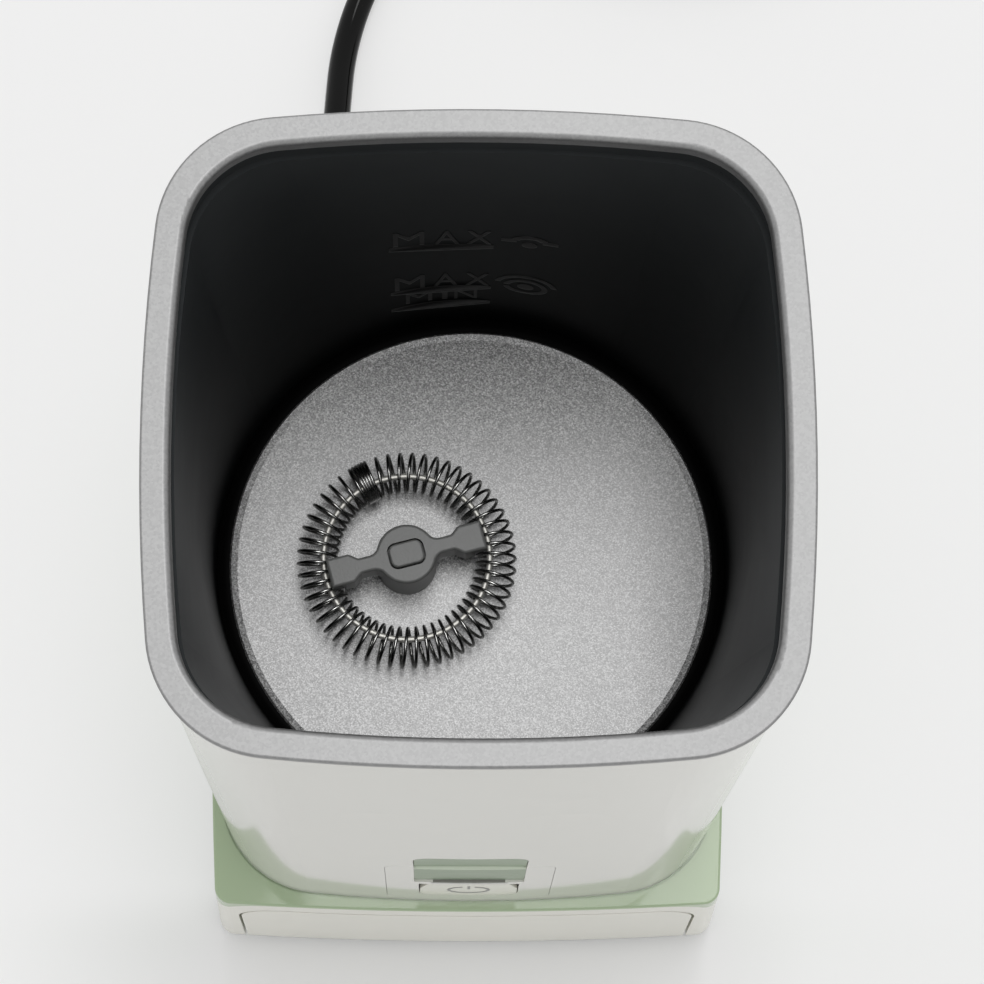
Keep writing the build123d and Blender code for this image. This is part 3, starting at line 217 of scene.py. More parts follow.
def new_group(name, inputs, outputs):
    """Empty shader node group with named sockets."""
    group = bpy.data.node_groups.new(name, "ShaderNodeTree")
    for label, kind, default in inputs:
        socket = group.interface.new_socket(label, in_out="INPUT", socket_type=kind)
        socket.default_value = default
    for label, kind in outputs:
        group.interface.new_socket(label, in_out="OUTPUT", socket_type=kind)
    return group, group.nodes.new("NodeGroupInput"), group.nodes.new("NodeGroupOutput")


COLOUR, NUMBER = "NodeSocketColor", "NodeSocketFloat"


def moulded_group():
    """Moulded or painted surface: faint cloudiness, a fine grain and a roughness that varies."""
    name = "Moulded Surface"
    if name in bpy.data.node_groups:
        return bpy.data.node_groups[name]
    group, given, result = new_group(
        name,
        [
            ("Colour", COLOUR, (0.5, 0.5, 0.5, 1.0)),
            ("Cloud", NUMBER, 0.05),
            ("Cloud Scale", NUMBER, 60.0),
            ("Grain Scale", NUMBER, 4000.0),
            ("Roughness", NUMBER, 0.3),
            ("Roughness Spread", NUMBER, 0.1),
        ],
        [("Colour", COLOUR), ("Roughness", NUMBER), ("Height", NUMBER)],
    )
    place = add_node(group, "ShaderNodeTexCoord").outputs["Object"]
    cloud = add_node(group, "ShaderNodeTexNoise")
    link(group, place, cloud.inputs["Vector"])
    link(group, given.outputs["Cloud Scale"], cloud.inputs["Scale"])
    grain = add_node(group, "ShaderNodeTexNoise")
    link(group, place, grain.inputs["Vector"])
    link(group, given.outputs["Grain Scale"], grain.inputs["Scale"])
    centred = add_node(group, "ShaderNodeMath", operation="SUBTRACT")
    centred.inputs[1].default_value = 0.5
    link(group, cloud.outputs["Fac"], centred.inputs[0])
    value = add_node(group, "ShaderNodeMath", operation="MULTIPLY_ADD")
    link(group, centred.outputs[0], value.inputs[0])
    link(group, given.outputs["Cloud"], value.inputs[1])
    value.inputs[2].default_value = 1.0
    shade = add_node(group, "ShaderNodeHueSaturation")
    link(group, given.outputs["Colour"], shade.inputs["Color"])
    link(group, value.outputs[0], shade.inputs["Value"])
    rough = sum_of(group, given.outputs["Roughness"], centred.outputs[0], given.outputs["Roughness Spread"])
    link(group, shade.outputs["Color"], result.inputs["Colour"])
    link(group, rough, result.inputs["Roughness"])
    link(group, grain.outputs["Fac"], result.inputs["Height"])
    return group


def flake_group():
    """Coating with metal flakes: cells of random brightness, as far up as down."""
    name = "Flake Coating"
    if name in bpy.data.node_groups:
        return bpy.data.node_groups[name]
    group, given, result = new_group(
        name,
        [
            ("Colour", COLOUR, (0.4, 0.4, 0.4, 1.0)),
            ("Spread", NUMBER, 0.5),
            ("Flake Scale", NUMBER, 1800.0),
            ("Roughness", NUMBER, 0.4),
            ("Roughness Spread", NUMBER, 0.2),
        ],
        [("Colour", COLOUR), ("Roughness", NUMBER), ("Height", NUMBER)],
    )
    place = add_node(group, "ShaderNodeTexCoord").outputs["Object"]
    cells = add_node(group, "ShaderNodeTexVoronoi")
    link(group, place, cells.inputs["Vector"])
    link(group, given.outputs["Flake Scale"], cells.inputs["Scale"])
    split = add_node(group, "ShaderNodeSeparateColor")
    link(group, cells.outputs["Color"], split.inputs["Color"])
    centred = add_node(group, "ShaderNodeMath", operation="SUBTRACT")
    centred.inputs[1].default_value = 0.5
    link(group, split.outputs["Red"], centred.inputs[0])
    stops = add_node(group, "ShaderNodeMath", operation="MULTIPLY")
    link(group, centred.outputs[0], stops.inputs[0])
    link(group, given.outputs["Spread"], stops.inputs[1])
    value = add_node(group, "ShaderNodeMath", operation="EXPONENT")
    link(group, stops.outputs[0], value.inputs[0])
    shade = add_node(group, "ShaderNodeHueSaturation")
    link(group, given.outputs["Colour"], shade.inputs["Color"])
    link(group, value.outputs[0], shade.inputs["Value"])
    rough = sum_of(group, given.outputs["Roughness"], centred.outputs[0], given.outputs["Roughness Spread"])
    link(group, shade.outputs["Color"], result.inputs["Colour"])
    link(group, rough, result.inputs["Roughness"])
    link(group, split.outputs["Green"], result.inputs["Height"])
    return group


def finish(name, group, values, metallic=0.0, bump=0.0, ior=1.5):
    """Material whose colour, roughness and grain come from a group."""
    if name in bpy.data.materials:
        return bpy.data.materials[name]
    material = bpy.data.materials.new(name)
    material.use_nodes = True
    tree = material.node_tree
    tree.nodes.clear()
    output = add_node(tree, "ShaderNodeOutputMaterial")
    shader = add_node(tree, "ShaderNodeBsdfPrincipled")
    link(tree, shader.outputs["BSDF"], output.inputs["Surface"])
    effect = add_node(tree, "ShaderNodeGroup", node_tree=group)
    for label, value in values.items():
        if label == "Colour":
            value = (*value, 1.0)
        effect.inputs[label].default_value = value
    link(tree, effect.outputs["Colour"], shader.inputs["Base Color"])
    link(tree, effect.outputs["Roughness"], shader.inputs["Roughness"])
    shader.inputs["Metallic"].default_value = metallic
    shader.inputs["IOR"].default_value = ior
    if bump:
        relief = add_node(tree, "ShaderNodeBump")
        relief.inputs["Strength"].default_value = bump
        relief.inputs["Distance"].default_value = BUMP_REACH
        link(tree, effect.outputs["Height"], relief.inputs["Height"])
        link(tree, relief.outputs["Normal"], shader.inputs["Normal"])
    return material


def moulded(name, tint, roughness, **more):
    """Moulded plastic or plain metal in one tint."""
    values = {"Colour": tint, "Roughness": roughness}
    for label in ("Cloud", "Cloud Scale", "Grain Scale", "Roughness Spread"):
        key = label.lower().replace(" ", "_")
        if key in more:
            values[label] = more.pop(key)
    return finish(name, moulded_group(), values, **more)


def cream_gloss():
    """Gloss cream plastic of the button, the front panel and its surround."""
    tint = settings().colours.cream
    return moulded("cream_gloss", tint, 0.2, roughness_spread=0.06, grain_scale=2500.0, bump=0.03)


def flaked(name, tint, roughness, roughness_spread, spread, scale):
    """Coating with metal flakes in one tint."""
    values = {
        "Colour": tint,
        "Roughness": roughness,
        "Roughness Spread": roughness_spread,
        "Spread": spread,
        "Flake Scale": scale,
    }
    return finish(name, flake_group(), values, metallic=0.75)


def painted_depth_shade_group():
    """Painted shade and painted light: colour whose value runs from one share to another between two heights,
    darker low down and lighter high up.
    """
    name = "Depth Shade"
    if name in bpy.data.node_groups:
        return bpy.data.node_groups[name]
    group, given, result = new_group(
        name,
        [
            ("Colour", COLOUR, (0.5, 0.5, 0.5, 1.0)),
            ("Low", NUMBER, 0.0),
            ("High", NUMBER, 0.1),
            ("Low Value", NUMBER, 0.5),
            ("High Value", NUMBER, 1.0),
        ],
        [("Colour", COLOUR)],
    )
    place = add_node(group, "ShaderNodeSeparateXYZ")
    link(group, add_node(group, "ShaderNodeTexCoord").outputs["Object"], place.inputs[0])
    value = add_node(group, "ShaderNodeMapRange")
    link(group, place.outputs["Z"], value.inputs["Value"])
    link(group, given.outputs["Low"], value.inputs["From Min"])
    link(group, given.outputs["High"], value.inputs["From Max"])
    link(group, given.outputs["Low Value"], value.inputs["To Min"])
    link(group, given.outputs["High Value"], value.inputs["To Max"])
    shade = add_node(group, "ShaderNodeHueSaturation")
    link(group, given.outputs["Colour"], shade.inputs["Color"])
    link(group, value.outputs["Result"], shade.inputs["Value"])
    link(group, shade.outputs["Color"], result.inputs["Colour"])
    return group


def paint_depth_shade(material, low, high, low_value, high_value):
    """Put the painted depth shade between a material's colour and its shader, so that the colour is darker
    towards the bottom and lighter towards the top.
    """
    tree = material.node_tree
    shader = next(node for node in tree.nodes if node.type == "BSDF_PRINCIPLED")
    shade = add_node(tree, "ShaderNodeGroup", node_tree=painted_depth_shade_group())
    for label, value in (("Low", low), ("High", high), ("Low Value", low_value), ("High Value", high_value)):
        shade.inputs[label].default_value = value
    link(tree, shader.inputs["Base Color"].links[0].from_socket, shade.inputs["Colour"])
    link(tree, shade.outputs["Colour"], shader.inputs["Base Color"])


def dress(material, *nodes):
    """Give CAD nodes a material."""
    for node in nodes:
        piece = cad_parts[node]
        piece.data.materials.clear()
        piece.data.materials.append(material)


def add_piece(name, data, material, body):
    """New piece in the scene that rides on a body."""
    piece = bpy.data.objects.new(name, data)
    bpy.context.scene.collection.objects.link(piece)
    data.materials.append(material)
    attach(piece, body)
    return piece


def mesh_of(curve):
    """Mesh of a curve or text, which is then thrown away."""
    holder = bpy.data.objects.new("outline", curve)
    bpy.context.scene.collection.objects.link(holder)
    bpy.context.view_layer.update()
    evaluated = holder.evaluated_get(bpy.context.evaluated_depsgraph_get())
    mesh = bpy.data.meshes.new_from_object(evaluated)
    bpy.data.objects.remove(holder)
    return mesh


def tree_of(node):
    """Search tree over a CAD node's faces."""
    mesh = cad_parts[node].data
    mesh.calc_loop_triangles()
    places = [vertex.co.copy() for vertex in mesh.vertices]
    return BVHTree.FromPolygons(places, [tuple(face.vertices) for face in mesh.loop_triangles])


def bands(radius, width, first, last, steps=40):
    """Outline of a band along an arc, in degrees anticlockwise."""
    angles = [math.radians(first + (last - first) * step / steps) for step in range(steps + 1)]
    outside, inside = radius + width / 2, radius - width / 2
    outer = [(outside * math.cos(angle), outside * math.sin(angle)) for angle in angles]
    inner = [(inside * math.cos(angle), inside * math.sin(angle)) for angle in reversed(angles)]
    return outer + inner


def stroke(start, end, width, steps=12):
    """Outline of a straight stroke with points along its length."""
    start, end = Vector(start), Vector(end)
    aside = (end - start).orthogonal().normalized() * width / 2
    along = [start.lerp(end, step / steps) for step in range(steps + 1)]
    return [tuple(point + aside) for point in along] + [tuple(point - aside) for point in reversed(along)]


def flat_shape(outlines, relief):
    """Mesh of closed outlines with a thickness."""
    curve = bpy.data.curves.new("outline", "CURVE")
    curve.dimensions = "2D"
    curve.fill_mode = "BOTH"
    curve.extrude = relief / 2
    for outline in outlines:
        spline = curve.splines.new("POLY")
        spline.points.add(len(outline) - 1)
        for point, (x, y) in zip(spline.points, outline):
            point.co = (x, y, 0.0, 1.0)
        spline.use_cyclic_u = True
    return mesh_of(curve)


def letter(text, cap_height, width, relief):
    """Mesh of a letter with its lower left corner at the origin, drawn to a width."""
    curve = bpy.data.curves.new("letter", "FONT")
    curve.body = text
    curve.size = cap_height
    curve.extrude = relief / 2
    mesh = mesh_of(curve)
    low = Vector([min(v.co[k] for v in mesh.vertices) for k in range(3)])
    high = Vector([max(v.co[k] for v in mesh.vertices) for k in range(3)])
    for vertex in mesh.vertices:
        vertex.co.x = (vertex.co.x - low.x) * width / (high.x - low.x)
        vertex.co.y = (vertex.co.y - low.y) * cap_height / (high.y - low.y)
    return mesh


def lay_on_wall(mesh, across, up, relief, search, from_y):
    """Move a flat mesh onto the wall that is met along Y, keeping its thickness."""
    for vertex in mesh.vertices:
        x, z = across + vertex.co.x, up + vertex.co.y
        hit = search.ray_cast(Vector((x, from_y, z)), Vector((0.0, 1.0, 0.0)))
        if hit[0] is None:
            raise RuntimeError("a mark misses the wall that carries it")
        vertex.co = (x, hit[0].y - (vertex.co.z + relief / 2), z)
    mesh.update()


def join_meshes(name, meshes):
    """One mesh out of several."""
    joined = bmesh.new()
    for mesh in meshes:
        joined.from_mesh(mesh)
        bpy.data.meshes.remove(mesh)
    result = bpy.data.meshes.new(name)
    bmesh.ops.recalc_face_normals(joined, faces=joined.faces)
    joined.to_mesh(result)
    joined.free()
    return result


# Route of the mains lead from the strain relief, with the same sizes as the solids
LEAD_DROP = ((0.0, 10.5, 10.0), (0.6, 22.5, 6.8), (1.4, 34.5, 3.6), (4.6, 46.5, 2.6), (11.4, 60.5, 2.6))
LEAD_Z = 2.6
GLAND_X, GLAND_Z = -26.0, 10.0
GLAND_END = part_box("cord_gland")[1][1] / MM
LOOP_MIDDLE = (GLAND_X + 68.0, GLAND_END + 90.0)
LOOP_RADIUS, LOOP_PITCH, LOOP_RISE = 31.0, 5.8, 5.8
LOOP_START = 148.0
LAYER_TURNS, CLIMB_TURNS = 1.157, 0.5
LEAD_IN, LOOP_TAIL = 23.0, 36.0

# Places along one rib of the strain relief, and whether the groove is there
RIB_PROFILE = ((0.3, 0), (0.38, 1), (0.82, 1), (0.9, 0))


def loop_point(turn):
    """Point of the put-away coil after a number of turns, in millimetres."""
    turns = 2 * LAYER_TURNS + CLIMB_TURNS
    climbed = min(max((turn - LAYER_TURNS) / CLIMB_TURNS, 0.0), 1.0)
    reach = LOOP_RADIUS - LOOP_PITCH * turns / 4 + LOOP_PITCH * abs(turn - turns / 2)
    angle = math.radians(LOOP_START - 360 * turn)
    return Vector(
        (
            LOOP_MIDDLE[0] + reach * math.cos(angle),
            LOOP_MIDDLE[1] + reach * math.sin(angle),
            LEAD_Z + LOOP_RISE * (1 - math.cos(math.pi * climbed)) / 2,
        )
    )


def lead_points():
    """Control points of the whole lead, in millimetres."""
    turns = 2 * LAYER_TURNS + CLIMB_TURNS
    nudge = 0.0001
    way_in = (loop_point(nudge) - loop_point(-nudge)).normalized()
    way_out = (loop_point(turns + nudge) - loop_point(turns - nudge)).normalized()
    entry = loop_point(0) - way_in * 2 * LEAD_Z
    points = [Vector((GLAND_X, GLAND_END, GLAND_Z))]
    points += [Vector((GLAND_X + aside, GLAND_END + behind, height)) for aside, behind, height in LEAD_DROP]
    points += [entry - way_in * LEAD_IN, entry]
    steps = math.ceil(turns * settings().lead.points_per_turn)
    points += [loop_point(turns * step / steps) for step in range(steps + 1)]
    last = loop_point(turns)
    points += [last + way_out * LOOP_TAIL / 2, last + way_out * LOOP_TAIL]
    return points


class FROTHER_OT_lead(bpy.types.Operator):
    """Mains lead with its strain relief, put-away coil and plug"""

    bl_idname = "frother.lead"
    bl_label = "Mains lead"

    def execute(self, context):
        given = settings()
        skin = moulded("lead_skin", given.colours.lead, 0.08, ior=1.25, roughness_spread=0.02)
        curve = bpy.data.curves.new("mains_lead", "CURVE")
        curve.dimensions = "3D"
        curve.bevel_depth = given.lead.diameter / 2
        curve.bevel_resolution = 5
        curve.resolution_u = 8
        curve.use_fill_caps = True
        points = lead_points()
        spline = curve.splines.new("NURBS")
        spline.points.add(len(points) - 1)
        for place, point in zip(spline.points, points):
            place.co = (*(point * MM), 1.0)
        spline.order_u = 3
        spline.use_endpoint_u = True
        lead = add_piece("mains_lead", curve, skin, "frother")
        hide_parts("power_cord", "cord_coil")
        relief = self.strain_relief(given, skin)
        dress(skin, "plug_body")
        dress(moulded("plug_pin_nickel", (0.72, 0.70, 0.66), 0.2, metallic=1.0, cloud=0.1), "plug_pins")
        return {"FINISHED"}

    def strain_relief(self, given, skin):
        """Tapered sleeve with ribs, turned about the lead's axis."""
        low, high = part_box("cord_gland")
        radius = (high[0] - low[0]) / 2
        collar = 0.0016
        flange, wide, narrow = 0.0057, 0.005, 0.0034
        edge, tip = 0.0004, 0.0002
        taper_length = 0.025
        taper_start = high[1] - taper_length
        wall_side = taper_start - collar
        profile = [
            (low[1], 0.0),
            (low[1], flange),
            (low[1] + collar, flange),
            (low[1] + collar, wide),
            (wall_side, wide),
            (wall_side, radius - edge),
            (wall_side + edge, radius),
            (taper_start - edge, radius),
            (taper_start, radius - edge),
            (taper_start, wide),
        ]
        ribs = given.lead.rib_count
        for rib in range(ribs):
            for share, sunk in RIB_PROFILE:
                along = (rib + share) / ribs
                reach = wide + (narrow - wide) * along - sunk * given.lead.rib_depth
                profile.append((taper_start + taper_length * along, reach))
        profile += [(high[1] - tip, narrow), (high[1], narrow - tip), (high[1], 0.0)]
        shape = bmesh.new()
        ring = [shape.verts.new((GLAND_X * MM, y, GLAND_Z * MM + r)) for y, r in profile]
        edges = [shape.edges.new(pair) for pair in zip(ring, ring[1:])]
        bmesh.ops.spin(
            shape,
            geom=ring + edges,
            cent=(GLAND_X * MM, 0.0, GLAND_Z * MM),
            axis=(0.0, 1.0, 0.0),
            angle=math.tau,
            steps=40,
            use_merge=True,
        )
        bmesh.ops.remove_doubles(shape, verts=shape.verts, dist=1e-6)
        bmesh.ops.recalc_face_normals(shape, faces=shape.faces)
        mesh = bpy.data.meshes.new("strain_relief")
        shape.to_mesh(mesh)
        shape.free()
        mesh.shade_smooth()
        mesh.set_sharp_from_angle(angle=math.radians(40))
        relief = add_piece("strain_relief", mesh, skin, "frother")
        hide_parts("cord_gland")
        return relief


class FROTHER_OT_whisk(bpy.types.Operator):
    """Whisk: hub, cap, ring and spring"""

    bl_idname = "frother.whisk"
    bl_label = "Whisk"

    def execute(self, context):
        given = settings()
        plastic = moulded(
            "whisk_plastic",
            given.colours.whisk,
            0.38,
            cloud=0.4,
            cloud_scale=420.0,
            grain_scale=2600.0,
            bump=0.3,
        )
        wire = moulded("spring_wire", given.colours.wire, 0.24, metallic=1.0, cloud=0.5, cloud_scale=900.0)
        dress(plastic, "whisk_hub", "hub_cap")
        dress(moulded("ring_wire", given.colours.ring, 0.55, metallic=0.85, cloud=0.2), "whisk_ring")
        nickel = moulded("magnet_nickel", (0.6, 0.58, 0.54), 0.25, metallic=1.0, cloud=0.1)
        dress(nickel, "whisk_magnet", "drive_magnets")
        self.spring(given, wire)
        return {"FINISHED"}

    def spring(self, given, wire):
        """One wire wound into a closed ring, tight where its ends meet."""
        low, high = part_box("whisk_ring")
        middle = (low + high) / 2
        low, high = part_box("whisk_coil")
        middle.z = (low[2] + high[2]) / 2
        made = given.spring
        open_pitch = (360.0 - made.close_turns * made.close_pitch) / made.open_turns
        curve = bpy.data.curves.new("whisk_spring", "CURVE")
        curve.dimensions = "3D"
        curve.bevel_depth = made.wire_radius
        curve.bevel_resolution = 2
        curve.use_fill_caps = True
        turns = made.open_turns + made.close_turns
        count = turns * made.points_per_turn
        spline = curve.splines.new("POLY")
        spline.points.add(count)
        for step, place in enumerate(spline.points):
            turn = step / made.points_per_turn
            close = min(turn, made.close_turns)
            angle = math.radians(made.joint_angle + close * made.close_pitch + (turn - close) * open_pitch)
            phase = math.tau * turn
            reach = made.ring_radius + made.turn_radius * math.cos(phase)
            place.co = (
                middle.x + reach * math.cos(angle),
                middle.y + reach * math.sin(angle),
                middle.z + made.turn_radius * math.sin(phase),
                1.0,
            )
        spline.use_smooth = True
        spring = add_piece("whisk_spring", curve, wire, "whisk")
        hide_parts("whisk_coil")


class FROTHER_OT_vessel(bpy.types.Operator):
    """Vessel: inner wall, floor, seal and rim"""

    bl_idname = "frother.vessel"
    bl_label = "Vessel and rim"

    def execute(self, context):
        tint = settings().colours
        wall = moulded(
            "vessel_black",
            tint.black_coating,
            0.3,
            ior=1.045,
            cloud=0.3,
            roughness_spread=0.06,
            grain_scale=5000.0,
            bump=0.04,
        )
        # Painted shade and painted light: the black coating's colour is darkened towards the vessel's floor
        # and lightened towards its mouth, though the coating itself is one colour.
        paint_depth_shade(wall, low=0.085, high=0.165, low_value=0.22, high_value=1.5)
        dress(wall, "vessel")
        dress(flaked("speckled_floor", tint.speckle, 0.45, 0.2, 1.5, 5600.0), "heating_plate")
        dress(flaked("speckled_rim", tint.rim, 0.45, 0.03, 0.2, 3000.0), "rim_ring")
        seal = moulded("seal_black", (0.002, 0.002, 0.002), 0.5, ior=1.1, grain_scale=5000.0, bump=0.1)
        dress(seal, "plate_seal")
        return {"FINISHED"}


# Rows of fill marks in mm: letters with left end and width, foot, letter height, line height, line thickness
MARK_ROWS = (
    ((("M", -12.6, 4.8), ("A", -6.2, 3.7), ("X", -1.2, 3.7)), 124.0, 6.4, 122.6, 1.5),
    ((("M", -12.6, 4.8), ("A", -6.3, 3.7), ("X", -1.2, 3.7)), 101.2, 6.4, 99.9, 1.1),
    ((("M", -10.9, 4.3), ("I", -5.0, 0.9), ("N", -3.0, 3.7)), 93.4, 5.2, 91.3, 1.1),
)

# Arcs of the whisk symbols: radius and width in mm, first and last angle in degrees, height in mm
SYMBOL_ARCS = (
    (2.5, 1.2, 28, 152, 126.2),
    (0.6, 1.199, 0, 359.9, 125.0),
    (4.6, 0.9, 12, 168, 103.4),
    (3.1, 0.9, -170, 172, 102.6),
    (0.65, 1.299, 0, 359.9, 102.6),
)

# Bars beside the upper symbol in mm: both ends, thickness, height
SYMBOL_BARS = ((-4.4, -2.0, 1.2, 126.8), (2.0, 4.4, 1.2, 126.8))


class FROTHER_OT_marks(bpy.types.Operator):
    """Fill lines, words and whisk symbols on the back wall of the vessel, drawn near black for painted shade
    in their engraved strokes, with a pale painted highlight under each.
    """

    bl_idname = "frother.marks"
    bl_label = "Fill marks"

    def execute(self, context):
        marks = settings().marks
        search = tree_of("vessel")
        dark, pale = [], []
        for mesh, across, up in self.shapes(marks):
            highlight_lip = mesh.copy()
            lay_on_wall(mesh, across, up, marks.relief, search, 0.0)
            lay_on_wall(highlight_lip, across, up - marks.highlight_lip, marks.relief / 2, search, 0.0)
            dark.append(mesh)
            pale.append(highlight_lip)
        # Painted shade: the marks are drawn near black, darker than the wall, to stand for the shade in their
        # engraved strokes.
        painted_groove_shade = moulded("mark_painted_shade", (0.0015, 0.0015, 0.0015), 0.6, cloud=0.2, bump=0.05)
        # Painted highlight: a pale copy of each mark, set a little lower, stands for the lit lower edge of
        # the engraved stroke.
        edge = moulded("mark_painted_highlight", (0.1, 0.105, 0.103), 0.5, ior=1.2, cloud=0.2, bump=0.05)
        add_piece("fill_marks", join_meshes("fill_marks", dark), painted_groove_shade, "frother")
        add_piece("fill_mark_highlights", join_meshes("fill_mark_highlights", pale), edge, "frother")
        return {"FINISHED"}

    def shapes(self, marks):
        """Flat meshes of the marks, each with its place across and up the wall."""
        relief = marks.relief
        for letters, low, height, line, thick in MARK_ROWS:
            for text, left, width in letters:
                yield letter(text, height * MM, width * MM, relief), left * MM, low * MM
            ends = (marks.left, 0.0), (marks.right, 0.0)
            yield flat_shape([stroke(*ends, thick * MM, 30)], relief), 0.0, line * MM
        middle = marks.symbol_middle
        for radius, width, first, last, up in SYMBOL_ARCS:
            yield flat_shape([bands(radius * MM, width * MM, first, last)], relief), middle, up * MM
        for start, end, width, up in SYMBOL_BARS:
            bar = stroke((start * MM, 0.0), (end * MM, 0.0), width * MM)
            yield flat_shape([bar], relief), middle, up * MM


class FROTHER_OT_jacket(bpy.types.Operator):
    """White jacket and button plate"""

    bl_idname = "frother.jacket"
    bl_label = "Jacket"

    def execute(self, context):
        tint = settings().colours.white
        white = moulded(
            "jacket_white", tint, 0.08, ior=1.38, cloud=0.02, cloud_scale=25.0, roughness_spread=0.03
        )
        dress(white, "body_shell", "button_plate")
        return {"FINISHED"}


class FROTHER_OT_button(bpy.types.Operator):
    """Push button with its power symbol, and the light bar"""

    bl_idname = "frother.button"
    bl_label = "Button"

    def execute(self, context):
        given = settings()
        dress(cream_gloss(), "power_button")
        dress(moulded("smoked_clear", (0.16, 0.16, 0.14), 0.15, roughness_spread=0.05), "light_bar")
        relief = 0.00006
        size = 0.0073
        thick = 0.00045
        standoff = 0.01
        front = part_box("power_button")[0][1] - standoff
        centre = 0.0493
        search = tree_of("power_button")
        ring = flat_shape([bands(size / 2 - thick / 2, thick, 108, 432, 60)], relief)
        tick = flat_shape([stroke((0.0, size / 6), (0.0, size / 2 + thick), thick)], relief)
        for mesh in (ring, tick):
            lay_on_wall(mesh, 0.0, centre, relief, search, front)
        ink = moulded("symbol_ink", given.colours.symbol, 0.35, cloud=0.1)
        add_piece("power_symbol", join_meshes("power_symbol", [ring, tick]), ink, "button")
        return {"FINISHED"}


class FROTHER_OT_base(bpy.types.Operator):
    """Base with its pale front, cover and feet"""

    bl_idname = "frother.base"
    bl_label = "Base"

    def execute(self, context):
        tint = settings().colours
        green = moulded(
            "green_gloss",
            tint.green,
            0.05,
            ior=1.42,
            cloud=0.03,
            roughness_spread=0.02,
            grain_scale=2500.0,
            bump=0.01,
        )
        dress(green, "base_housing")
        # Painted shade: the finger rest's green is darkened for the shade on its upright faces.
        shaded_inlay = moulded("green_inlay_painted_shade", tint.shaded_inlay, 0.3, cloud=0.03, grain_scale=2500.0, bump=0.03)
        lit_ledge = moulded("green_ledge_painted_light", tint.lit_ledge, 0.3, cloud=0.03, grain_scale=2500.0, bump=0.03)
        dress(shaded_inlay, "finger_rest")
        self.paint_ledge_light(lit_ledge)
        dress(cream_gloss(), "base_fascia", "front_panel")
        cover = moulded("cover_plastic", (0.20, 0.20, 0.195), 0.5, grain_scale=3000.0, bump=0.3)
        dress(cover, "bottom_cover")
        rubber = moulded("foot_rubber", (0.03, 0.03, 0.03), 0.7, grain_scale=3000.0, bump=0.2)
        dress(rubber, "rubber_feet", "bracket_bushes")
        return {"FINISHED"}

    def paint_ledge_light(self, lit_ledge):
        """Give the finger rest's upward faces below its top a paler tint: painted light where the level ledge
        catches light from above.
        """
        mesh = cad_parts["finger_rest"].data
        mesh.materials.append(lit_ledge)
        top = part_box("finger_rest")[1][2]
        level, clear = 0.9, 1 * MM
        for face in mesh.polygons:
            if face.normal.z > level and face.center.z < top - clear:
                face.material_index = 1


class FROTHER_OT_works(bpy.types.Operator):
    """Motor, heater, boards and fasteners inside"""

    bl_idname = "frother.works"
    bl_label = "Inner works"

    def execute(self, context):
        zinc = moulded("zinc_plate", (0.52, 0.52, 0.5), 0.35, metallic=1.0, cloud=0.2, cloud_scale=400.0)
        dress(
            zinc,
            "plate_nuts",
            "heating_element",
            "motor",
            "motor_bracket",
            "motor_screws",
            "bracket_screws",
            "motor_shaft",
            "switch_screws",
            "tie_rods",
            "tie_nuts",
            "cover_screws",
            "board_screws",
        )
        dress(moulded("terminal_brass", (0.65, 0.46, 0.18), 0.3, metallic=1.0, cloud=0.2), "heater_terminals")
        dress(moulded("ceramic_white", (0.75, 0.74, 0.7), 0.5, bump=0.1), "thermostat", "thermal_fuse")
        dress(moulded("laminate_green", (0.03, 0.12, 0.05), 0.4, cloud=0.2), "control_board", "switch_board")
        dress(
            moulded("inner_plastic", (0.08, 0.08, 0.085), 0.5, grain_scale=3000.0, bump=0.2),
            "magnet_carrier",
            "tact_switch",
            "switch_plunger",
            "board_transformer",
            "board_relay",
            "board_capacitor",
        )
        return {"FINISHED"}


